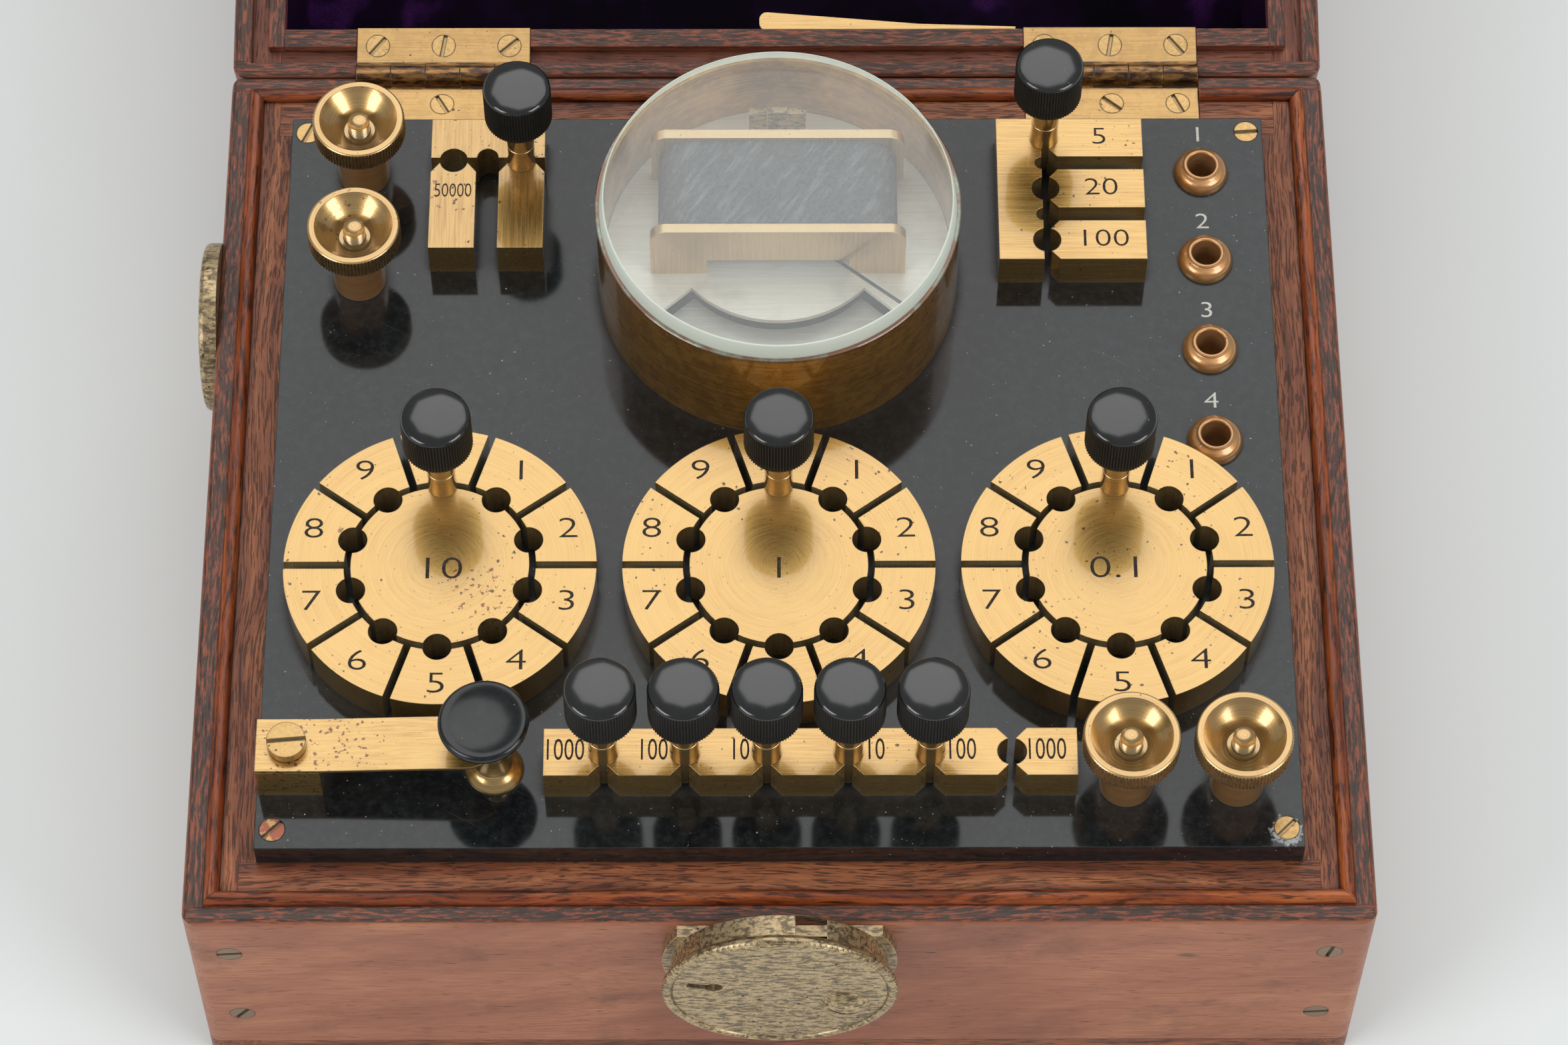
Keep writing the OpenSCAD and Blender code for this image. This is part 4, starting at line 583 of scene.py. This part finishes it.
# The pieces that the part's source shapes, by their finish
FINISHES = [
    (WOOD_FRONT, ("case_front", "case_back")),
    (WOOD_SIDE, ("case_sides",)),
    (WOOD_STRIP, ("case_base", "ledge_strips")),
    (WOOD_BEAD, ("bead_moulding",)),
    (WOOD_LID, ("lid_top", "lid_walls")),
    (WOOD_GROOVE, ("lid_strips",)),
    (RUBBER_PANEL, ("panel",)),
    (BRASS_DIAL, ("decade_hubs", "tens_blocks", "units_blocks", "tenths_blocks")),
    (BRASS_X, ("ratio_blocks", "shunt_blocks", "key_pillar", "key_arm", "lid_blade")),
    (BRASS_Y, ("insulation_blocks",)),
    (BRASS_DRUM, ("meter_drum",)),
    (BRASS_CHEEK, ("coil_cheeks",)),
    (BRASS_HINGE, ("hinge_base_leaves", "hinge_lid_leaves")),
    (BRASS_SCREW, ("brass_screws", "lid_screws")),
    (BRASS_AGED, ("needle_bracket", "block_screws", "hinge_pins", "lock_case", "lock_cover", "lock_screw",
                  "lock_bolt", "lid_hasp", "side_boss")),
    (SILVER, ("meter_dial_plate",)),
    (MIRROR, ("scale_mirror",)),
    (COIL, ("coil_winding", "resistance_coils")),
    (BLUED, ("needle",)),
]
for finish_of, node_names in FINISHES:
    for node_name in node_names:
        shown = NODES[node_name]
        shown.data.materials.clear()
        shown.data.materials.append(finish_of)


# Mesh pieces
def keep(bm, name, materials, body, replaced=(), smooth=35):
    """Turns a bmesh in millimetres into a piece that rides on a body."""
    bmesh.ops.remove_doubles(bm, verts=bm.verts, dist=0.0005)
    bmesh.ops.recalc_face_normals(bm, faces=bm.faces)
    bmesh.ops.scale(bm, vec=(MM, MM, MM), verts=bm.verts)
    mesh = bpy.data.meshes.new(name)
    bm.to_mesh(mesh)
    bm.free()
    for finish_of in materials:
        mesh.materials.append(finish_of)
    piece = bpy.data.objects.new(name, mesh)
    bpy.context.scene.collection.objects.link(piece)
    mesh.shade_smooth()
    mesh.set_sharp_from_angle(angle=radians(smooth))
    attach(piece, body)
    if replaced:
        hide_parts(*replaced)
    return piece


def lathe_mesh():
    """An empty mesh whose points keep their radius, height and direction of turning, for the brush lines."""
    bm = bmesh.new()
    bm.verts.layers.float_vector.new("lathe")
    bm.verts.layers.float_vector.new("around")
    return bm


def turned(bm, profile, steps, place=(0, 0, 0), material=0):
    """Spins a profile of (radius, height) about the upright axis through place. Returns its vertices."""
    lathe = bm.verts.layers.float_vector["lathe"]
    around = bm.verts.layers.float_vector["around"]
    points = [bm.verts.new((max(r, 0.0), 0, z)) for r, z in profile]
    edges_of = [bm.edges.new(pair) for pair in zip(points, points[1:])]
    before = set(bm.faces)
    bmesh.ops.spin(bm, geom=points + edges_of, cent=(0, 0, 0), axis=(0, 0, 1), angle=tau, steps=steps,
                   use_merge=True)
    ends = dict.fromkeys(v for f in bm.faces if f not in before for v in f.verts)
    bmesh.ops.remove_doubles(bm, verts=list(ends), dist=0.0005)
    fresh = [f for f in bm.faces if f not in before]
    for face in fresh:
        face.material_index = material
    verts = list(dict.fromkeys(v for f in fresh for v in f.verts))
    for v in verts:
        r = hypot(v.co.x, v.co.y)
        v[lathe] = (r, v.co.z, 0)
        v[around] = (-v.co.y / r, v.co.x / r, 0) if r > 0.001 else (1, 0, 0)
    bmesh.ops.translate(bm, vec=place, verts=verts)
    return verts


def arc(centre_r, centre_z, radius, start, end, count):
    """Points of an arc for a profile; angles in degrees from the outward direction."""
    return [(centre_r + radius * cos(radians(start + (end - start) * i / count)),
             centre_z + radius * sin(radians(start + (end - start) * i / count))) for i in range(count + 1)]


def repaint(bm, index, x=0.0, y=0.0, beyond=-1.0, low=-1000.0, high=1000.0, only=None):
    """Gives another material to the faces beyond a distance from an upright axis, between two heights."""
    for face in bm.faces:
        middle = face.calc_center_median()
        outside = hypot(middle.x - x, middle.y - y) > beyond and low < middle.z < high
        if outside and (only is None or face.material_index == only):
            face.material_index = index


def mill(verts, place, count, low, high, outer, depth):
    """Cuts upright milling into the rim: points at the outer radius between two heights move inwards."""
    for v in verts:
        x, y = v.co.x - place[0], v.co.y - place[1]
        r = hypot(x, y)
        if low <= v.co.z - place[2] <= high and r > outer - 0.05:
            cut = depth * (0.5 + 0.5 * cos(count * atan2(y, x)))
            v.co.x = place[0] + x * (r - cut) / r
            v.co.y = place[1] + y * (r - cut) / r


# Plugs: a polished brass shank and a milled hard rubber knob with a low domed cap
KNOB_RIDGES = 72
RIDGE_DEPTH = 0.45
KNOB_LIFT = 16.5
CAP_HEIGHT = 1.72
SHOULDER = 1.1
DOME_SLOPE = radians(18.5)


def plug(name):
    low, high = box_of(name)
    x, y, _ = centre_of(name)
    outer = radius_of(name)
    foot, top = low[2], high[2]
    under = BLOCK_TOP + KNOB_LIFT
    bm = lathe_mesh()
    hole = 2.93
    waist = 2.95
    neck = 3.15
    bead = BLOCK_TOP + 6.6
    shank = [(0, foot), (2.6, foot), (hole, foot + 0.5), (hole, BLOCK_TOP + 0.05), (neck, BLOCK_TOP + 0.1),
             (3.1, BLOCK_TOP + 1.2), (waist, BLOCK_TOP + 3.4), (waist, bead), (waist - 0.12, bead + 0.1),
             (waist - 0.12, bead + 0.35), (waist + 0.02, bead + 0.45), (waist + 0.12, bead + 1.9),
             (neck, under - 4.4), (neck, under - 1.1), (2.75, under - 0.6), (2.75, under + 0.3),
             (0, under + 0.3)]
    turned(bm, shank, 48, (x, y, 0), 0)
    crisp = top - CAP_HEIGHT
    body = [(0, under), (outer - 0.9, under), (outer - 0.4, under + 0.12), (outer, under + 0.5)]
    body += [(outer, under + (crisp - under) * k) for k in (0.25, 0.5, 0.75)] + [(outer, crisp - 0.12)]
    # the round shoulder is tangent to the dome and carries two pale crescents of light
    inner = outer - 0.12 - SHOULDER * (sin(radians(75)) - sin(DOME_SLOPE))
    bulge = tan(DOME_SLOPE) / (2 * inner)
    round_z = top - bulge * inner * inner - SHOULDER * cos(DOME_SLOPE)
    body += arc(inner - SHOULDER * sin(DOME_SLOPE), round_z, SHOULDER, 15, 90 - degrees(DOME_SLOPE), 8)
    body += [(inner * k, top - bulge * (inner * k) ** 2) for k in (0.85, 0.7, 0.5, 0.3, 0.15)] + [(0, top)]
    verts = turned(bm, body, 4 * KNOB_RIDGES, (x, y, 0), 1)
    mill(verts, (x, y, 0), KNOB_RIDGES, under + 0.4, crisp + 0.01, outer, RIDGE_DEPTH)
    repaint(bm, 2, x, y, outer - 0.6, high=crisp, only=1)
    keep(bm, name.replace("plug", "plug_milled"), [BRASS_TURNED, RUBBER_KNOB, RUBBER_MILLED], name, [name],
         40)


for node_name in PLUGS:
    plug(node_name)


# Terminal heads: milled rim, bright lip and a conical dish
HEAD_RIDGES = 84
DISH_DEPTH = 4.4
DISH_FLOOR = 3.3


def terminal_head(name):
    low, high = box_of(name)
    x, y, _ = centre_of(name)
    outer = radius_of(name)
    foot, top = low[2], high[2]
    bore = 2.42
    dish = outer - 1.65
    bm = lathe_mesh()
    profile = [(bore, foot), (5.8, foot), (6.1, foot + 0.15), (outer - 1.3, foot + 0.3),
               (outer - 0.5, foot + 0.45), (outer, foot + 0.8)]
    profile += [(outer, foot + (top - foot) * k) for k in (0.35, 0.6, 0.8)] + [(outer, top - 0.5)]
    profile += [(outer - 0.15, top - 0.25), (outer - 0.35, top - 0.05), (outer - 0.5, top),
                (outer - 1.55, top), (dish, top - 0.15)]
    profile += [(dish - (dish - DISH_FLOOR) * k, top - 0.15 - DISH_DEPTH * k) for k in (0.33, 0.66, 1.0)]
    profile += [(3.0, top - 4.6), (bore, top - 4.6), (bore, foot)]
    verts = turned(bm, profile, 4 * HEAD_RIDGES, (x, y, 0))
    mill(verts, (x, y, 0), HEAD_RIDGES, foot + 0.7, top - 0.4, outer, 0.4)
    repaint(bm, 1, x, y, outer - 0.5, high=top - 0.4)
    keep(bm, name.replace("nut", "head"), [BRASS_TURNED, BRASS_MILLED], name, [name], 28)


for node_name in NUTS:
    terminal_head(node_name)


# Terminal posts: copper-brown with a bright foot ring, and a thread on the stud
def terminal_posts():
    bm = lathe_mesh()
    low, high = box_of("terminal_posts")
    stud = 2.3
    nut = 4.5
    post = 5.6
    groove = PANEL_TOP + 10.9
    pitch = 0.62
    seat = box_of(NUTS[0])[0][2]
    tip = high[2]
    for name in NUTS:
        x, y, _ = centre_of(name)
        profile = [(0, low[2]), (stud, low[2]), (stud, RIM_Z - 3), (nut, RIM_Z - 3), (nut, RIM_Z),
                   (stud, RIM_Z), (stud, PANEL_TOP), (post - 0.15, PANEL_TOP), (post, PANEL_TOP + 0.2),
                   (post, groove), (post - 0.25, groove + 0.2), (post - 0.25, groove + 0.6),
                   (post, groove + 0.8), (post, seat - 0.5), (post - 0.3, seat - 0.2),
                   (post - 0.3, seat - 0.02), (2.2, seat - 0.02)]
        z = seat + 1.0
        while z < tip - 1.4:
            profile += [(2.35, z), (2.35, z + 0.1), (2.05, z + 0.35), (2.05, z + 0.4)]
            z += pitch
        profile += [(stud, z), (stud, tip - 1.1), (1.9, tip - 0.4), (1.2, tip - 0.1), (0, tip)]
        turned(bm, profile, 56, (x, y, 0))
    repaint(bm, 1, low=seat)
    keep(bm, "terminal_studs", [BRASS_POST, BRASS_TURNED], "case", ["terminal_posts"])


terminal_posts()


# Test sockets: a rolled lip, a convex dome and a dark bore, with a hexagonal nut below the panel
def sockets():
    bm = lathe_mesh()
    low, high = box_of("test_sockets")
    top = high[2]
    bore = 3.02
    barrel = 4.25
    nut = 6.3
    floor_z = low[2] + 1.5
    for name in SOCKETS:
        x, y = [v / MM for v in MOUNTS[name]["pos_m"][:2]]
        dome = [(bore, floor_z), (bore, top - 0.45), (3.1, top - 0.15), (3.3, top), (3.6, top),
                (3.85, top - 0.15), (3.92, top - 0.4), (4.1, PANEL_TOP + 2.85), (4.6, PANEL_TOP + 2.6),
                (5.1, PANEL_TOP + 2.2), (5.5, PANEL_TOP + 1.65), (5.8, PANEL_TOP + 1.0),
                (5.95, PANEL_TOP + 0.3), (5.9, PANEL_TOP)]
        tail = [(barrel, PANEL_TOP), (barrel, low[2]), (0, low[2]), (0, floor_z), (bore, floor_z)]
        turned(bm, dome + tail, 64, (x, y, 0))
        turned(bm, [(barrel, RIM_Z), (nut, RIM_Z), (nut, RIM_Z - 2.5), (barrel, RIM_Z - 2.5)], 6, (x, y, 0))
    keep(bm, "test_sockets_turned", [BRASS_POST], "case", ["test_sockets"], 40)


sockets()


# Key: dished knob on its stem, leaning with the arm, and the turned anvil below it
ARM_BEND = radians(2.6)
ARM_FOOT = Vector((-92.5, 0, 80.75))
KEY_KNOB_X = -58.7


def key_knob():
    low, high = box_of("key_knob")
    y = (low[1] + high[1]) / 2
    r = (high[1] - low[1]) / 2
    slope = sin(ARM_BEND)
    foot = KEY_HIGH[2] - (KEY_HIGH[0] - KEY_KNOB_X) * slope
    top = high[2] - (r + KEY_KNOB_X - ARM_FOOT.x) * slope
    bm = lathe_mesh()
    profile = [(0, foot - 2), (2.4, foot - 2), (2.3, top - 5.4), (2.9, top - 4.4), (4.4, top - 3.5),
               (6.6, top - 3.0)]
    profile += arc(r - 1.15, top - 1.6, 1.15, -65, 75, 9)
    profile += [(r - 1.3, top - 0.5), (r - 2.2, top - 0.84), (r - 3.4, top - 1.2), (r - 5.0, top - 1.52),
                (r - 7.0, top - 1.7), (0, top - 1.75)]
    verts = turned(bm, profile, 96, (KEY_KNOB_X, y, 0))
    lean = Matrix.Rotation(-ARM_BEND, 3, "Y")
    bmesh.ops.rotate(bm, cent=ARM_FOOT, matrix=lean, verts=verts)
    keep(bm, "key_button", [RUBBER_KEY], "key", ["key_knob"], 50)


key_knob()


def key_anvil():
    x, y, _ = centre_of("key_anvil")
    top = box_of("key_anvil")[1][2]
    base = PANEL_TOP
    bm = lathe_mesh()
    profile = [(0, base), (5.95, base), (5.95, base + 0.45), (5.75, base + 0.7), (5.2, base + 1.5),
               (4.4, base + 2.3), (3.8, base + 2.7), (3.65, base + 3.0), (3.2, base + 4.0), (2.7, base + 5.4),
               (2.4, base + 6.6), (2.55, top - 0.9), (2.9, top - 0.5), (2.9, top - 0.15), (2.7, top),
               (0, top)]
    turned(bm, profile, 64, (x, y, 0))
    keep(bm, "key_anvil_turned", [BRASS_TURNED], "case", ["key_anvil"], 40)


key_anvil()


# Meter glass: a clear disc with a ground and bevelled edge
def meter_glass():
    low, high = box_of("meter_glass")
    x, y, _ = centre_of("meter_glass")
    r = radius_of("meter_glass")
    foot, top = low[2], high[2]
    bm = lathe_mesh()
    profile = [(0, foot), (r, foot), (r, top - 3.5), (r - 0.15, top - 2.4), (r - 0.65, top - 0.35),
               (r - 0.8, top - 0.1), (r - 1.05, top), (0, top)]
    turned(bm, profile, 128, (x, y, 0))
    repaint(bm, 1, x, y, r - 1.3, low=foot + 0.01)
    keep(bm, "meter_glass_disc", [GLASS, GROUND_GLASS], "case", ["meter_glass"], 20)


meter_glass()


# Lock front: the milled rim round its disc
def lock_front():
    low, high = box_of("lock_cover")
    x, z = (low[0] + high[0]) / 2, (low[2] + high[2]) / 2
    r = (high[0] - low[0]) / 2
    ridges = 120
    width = 1.3
    bm = bmesh.new()
    bmesh.ops.create_cone(bm, cap_ends=False, segments=4 * ridges, radius1=r, radius2=r, depth=width)
    ring = [e for e in bm.edges if abs(e.verts[0].co.z - e.verts[1].co.z) < 1e-6]
    extruded = bmesh.ops.extrude_edge_only(bm, edges=ring)
    inner = [v for v in extruded["geom"] if isinstance(v, bmesh.types.BMVert)]
    for v in inner:
        v.co.x *= (r - 0.5) / r
        v.co.y *= (r - 0.5) / r
    mill(bm.verts, (0, 0, 0), ridges, -width, width, r, 0.3)
    bmesh.ops.rotate(bm, matrix=Matrix.Rotation(pi / 2, 3, "X"), verts=bm.verts)
    bmesh.ops.translate(bm, vec=(x, high[1] - 1.75, z), verts=bm.verts)
    keep(bm, "lock_milling", [BRASS_AGED], "case", ())


lock_front()


# Engraved numbers, filled with wax or paint, 0.012 mm proud so that they show
FIGURE_RISE = 0.012
DIAL_FIGURES_AT = 27.6
SHUNT_PITCH = 13.1


def figures(text, place, size, wide=1.36, bold=-0.012):
    """Flat figures on an upward face, as a mesh, with their middle at place."""
    made = bpy.data.curves.new("figures", "FONT")
    made.body = text
    made.size = size * MM
    made.align_x = "CENTER"
    made.align_y = "CENTER"
    made.offset = bold * size * MM
    made.resolution_u = 4
    lettering = bpy.data.objects.new("figures", made)
    bpy.context.scene.collection.objects.link(lettering)
    bpy.context.view_layer.update()
    mesh = bpy.data.meshes.new_from_object(lettering)
    bpy.data.objects.remove(lettering)
    raised = (place[0] * MM, place[1] * MM, (place[2] + FIGURE_RISE) * MM)
    mesh.transform(Matrix.Translation(raised) @ Matrix.Diagonal((wide, 1, 1, 1)))
    return mesh


def engraved(name, meshes, finish_of):
    bm = bmesh.new()
    for mesh in meshes:
        bm.from_mesh(mesh)
    bmesh.ops.scale(bm, vec=(1 / MM, 1 / MM, 1 / MM), verts=bm.verts)
    keep(bm, name, [finish_of], "case", ())


def all_figures():
    marks = []
    for step, text in ((-1, "10"), (0, "1"), (1, "0.1")):
        x = step * DIAL_PITCH
        marks.append(figures(text, (x, HUB_Y - 1, BLOCK_TOP), 7.4))
        for k in range(10):
            angle = radians(90 - 36 * k)
            place = (x + DIAL_FIGURES_AT * cos(angle), HUB_Y + DIAL_FIGURES_AT * sin(angle), BLOCK_TOP)
            marks.append(figures(str(k), place, 6.9))
    low, high = box_of("ratio_blocks")
    middle = (low[1] + high[1]) / 2
    first_hole = centre_of("plug_ratio_1")[0]
    pitch = centre_of("plug_ratio_2")[0] - first_hole
    # the numbers of the ratio arms, and how many holes along they stand
    ratios = (("1000", -0.483), ("100", 0.603), ("10", 1.665), ("10", 3.32), ("100", 4.373), ("1000", 5.41))
    for text, along in ratios:
        place = (first_hole + along * pitch, middle + 0.3, BLOCK_TOP)
        marks.append(figures(text, place, 6.9, 0.62, -0.002))
    high = box_of("shunt_blocks")[1]
    y = centre_of("plug_shunt")[1]
    for i, text in enumerate(("5", "20", "100")):
        marks.append(figures(text, (high[0] - 9.3, y - SHUNT_PITCH * i + 0.2, BLOCK_TOP), 6.2, 1.25))
    low = box_of("insulation_blocks")[0]
    marks.append(figures("50000", (low[0] + 4.9, low[1] + 14.5, BLOCK_TOP), 5.0, 0.66, -0.006))
    engraved("engraved_figures", marks, WAX)
    marks = []
    for i, name in enumerate(SOCKETS):
        x, y = [v / MM for v in MOUNTS[name]["pos_m"][:2]]
        marks.append(figures(str(i + 1), (x - 0.2, y + 9.9, PANEL_TOP), 5.6, 1.2, -0.008))
    engraved("painted_figures", marks, WHITE_PAINT)


all_figures()


# Velvet lining of the lid, glued in, with rounded edges
def lid_velvet():
    bm = bmesh.new()
    bm.from_mesh(NODES["lid_lining"].data)
    bmesh.ops.scale(bm, vec=(1 / MM, 1 / MM, 1 / MM), verts=bm.verts)
    bmesh.ops.remove_doubles(bm, verts=bm.verts, dist=0.005)
    bmesh.ops.dissolve_limit(bm, angle_limit=radians(2), verts=bm.verts, edges=bm.edges)
    bmesh.ops.bevel(bm, geom=bm.edges[:], offset=0.35, offset_type="OFFSET", affect="EDGES", segments=3,
                    profile=0.5, material=-1)
    piece = keep(bm, "lid_velvet", [VELVET], "lid", ["lid_lining"], 60)


lid_velvet()


# Floor, light and camera, in metres
def aimed(thing, place, aim):
    thing.location = place
    thing.rotation_euler = (Vector(aim) - Vector(place)).to_track_quat("-Z", "Y").to_euler()
    bpy.context.scene.collection.objects.link(thing)


def stage_piece(name, bm, finish_of):
    mesh = bpy.data.meshes.new(name)
    bm.to_mesh(mesh)
    bm.free()
    mesh.materials.append(finish_of)
    return bpy.data.objects.new(name, mesh)


def studio():
    bm = bmesh.new()
    bmesh.ops.create_grid(bm, x_segments=1, y_segments=1, size=4.0)
    paper = new_material("pale paper", Roughness=0.9, Base_Color="#f0f4f3")[0]
    floor_piece = stage_piece("floor", bm, paper)
    bpy.context.scene.collection.objects.link(floor_piece)

    # the large soft box has eight sides, which show on the caps of the knobs
    bm = bmesh.new()
    bmesh.ops.create_circle(bm, cap_ends=True, segments=8, radius=1.73)
    cloth = new_material("soft box cloth", Base_Color="#000000", Emission_Color="#ffffff",
                         Emission_Strength=1.5)[0]
    above = stage_piece("soft box above", bm, cloth)
    aimed(above, (0.02, 1.48, 2.69), (0, 0, 0.08))
    for side in (-1, 1):
        data = bpy.data.lights.new("soft box beside", "AREA")
        data.shape = "RECTANGLE"
        data.size = 0.8
        data.size_y = 0.8
        data.energy = 7.0
        aimed(bpy.data.objects.new("soft box beside", data), (side * 1.1, -0.7, 1.0), (0, 0, 0.05))

    # the grey room is darker in reflections than it lights
    world = bpy.data.worlds.new("studio")
    bpy.context.scene.world = world
    world.use_nodes = True
    back = world.node_tree.nodes["Background"]
    back.inputs["Color"].default_value = linear("#e8ebeb")
    glossy = add(world.node_tree, "LightPath").outputs["Is Glossy Ray"]
    strength = add(world.node_tree, "MapRange", {"Value": glossy, "To Min": 0.5, "To Max": 0.34})
    world.node_tree.links.new(strength.outputs[0], back.inputs["Strength"])


studio()


def camera():
    """The view of the photograph: its place and turn, from the solved frame."""
    data = bpy.data.cameras.new("camera")
    data.sensor_width = 36.0
    data.sensor_fit = "HORIZONTAL"
    data.lens = 114.42
    data.clip_start = 0.01
    data.clip_end = 50
    eye = bpy.data.objects.new("camera", data)
    pitch, yaw, roll = radians(60.42), radians(0.486), radians(0.326)
    forward = Vector((sin(yaw) * cos(pitch), cos(yaw) * cos(pitch), -sin(pitch)))
    right = Vector((cos(yaw), -sin(yaw), 0))
    upward = right.cross(forward)
    turned_right = cos(roll) * right + sin(roll) * upward
    turned_up = cos(roll) * upward - sin(roll) * right
    axes = Matrix((turned_right, turned_up, -forward)).transposed()
    place = Vector((-0.00323, -0.52828, 0.97658))
    eye.matrix_world = Matrix.Translation(place) @ axes.to_4x4()
    bpy.context.scene.collection.objects.link(eye)
    bpy.context.scene.camera = eye


camera()
bpy.context.scene.view_settings.view_transform = "Standard"
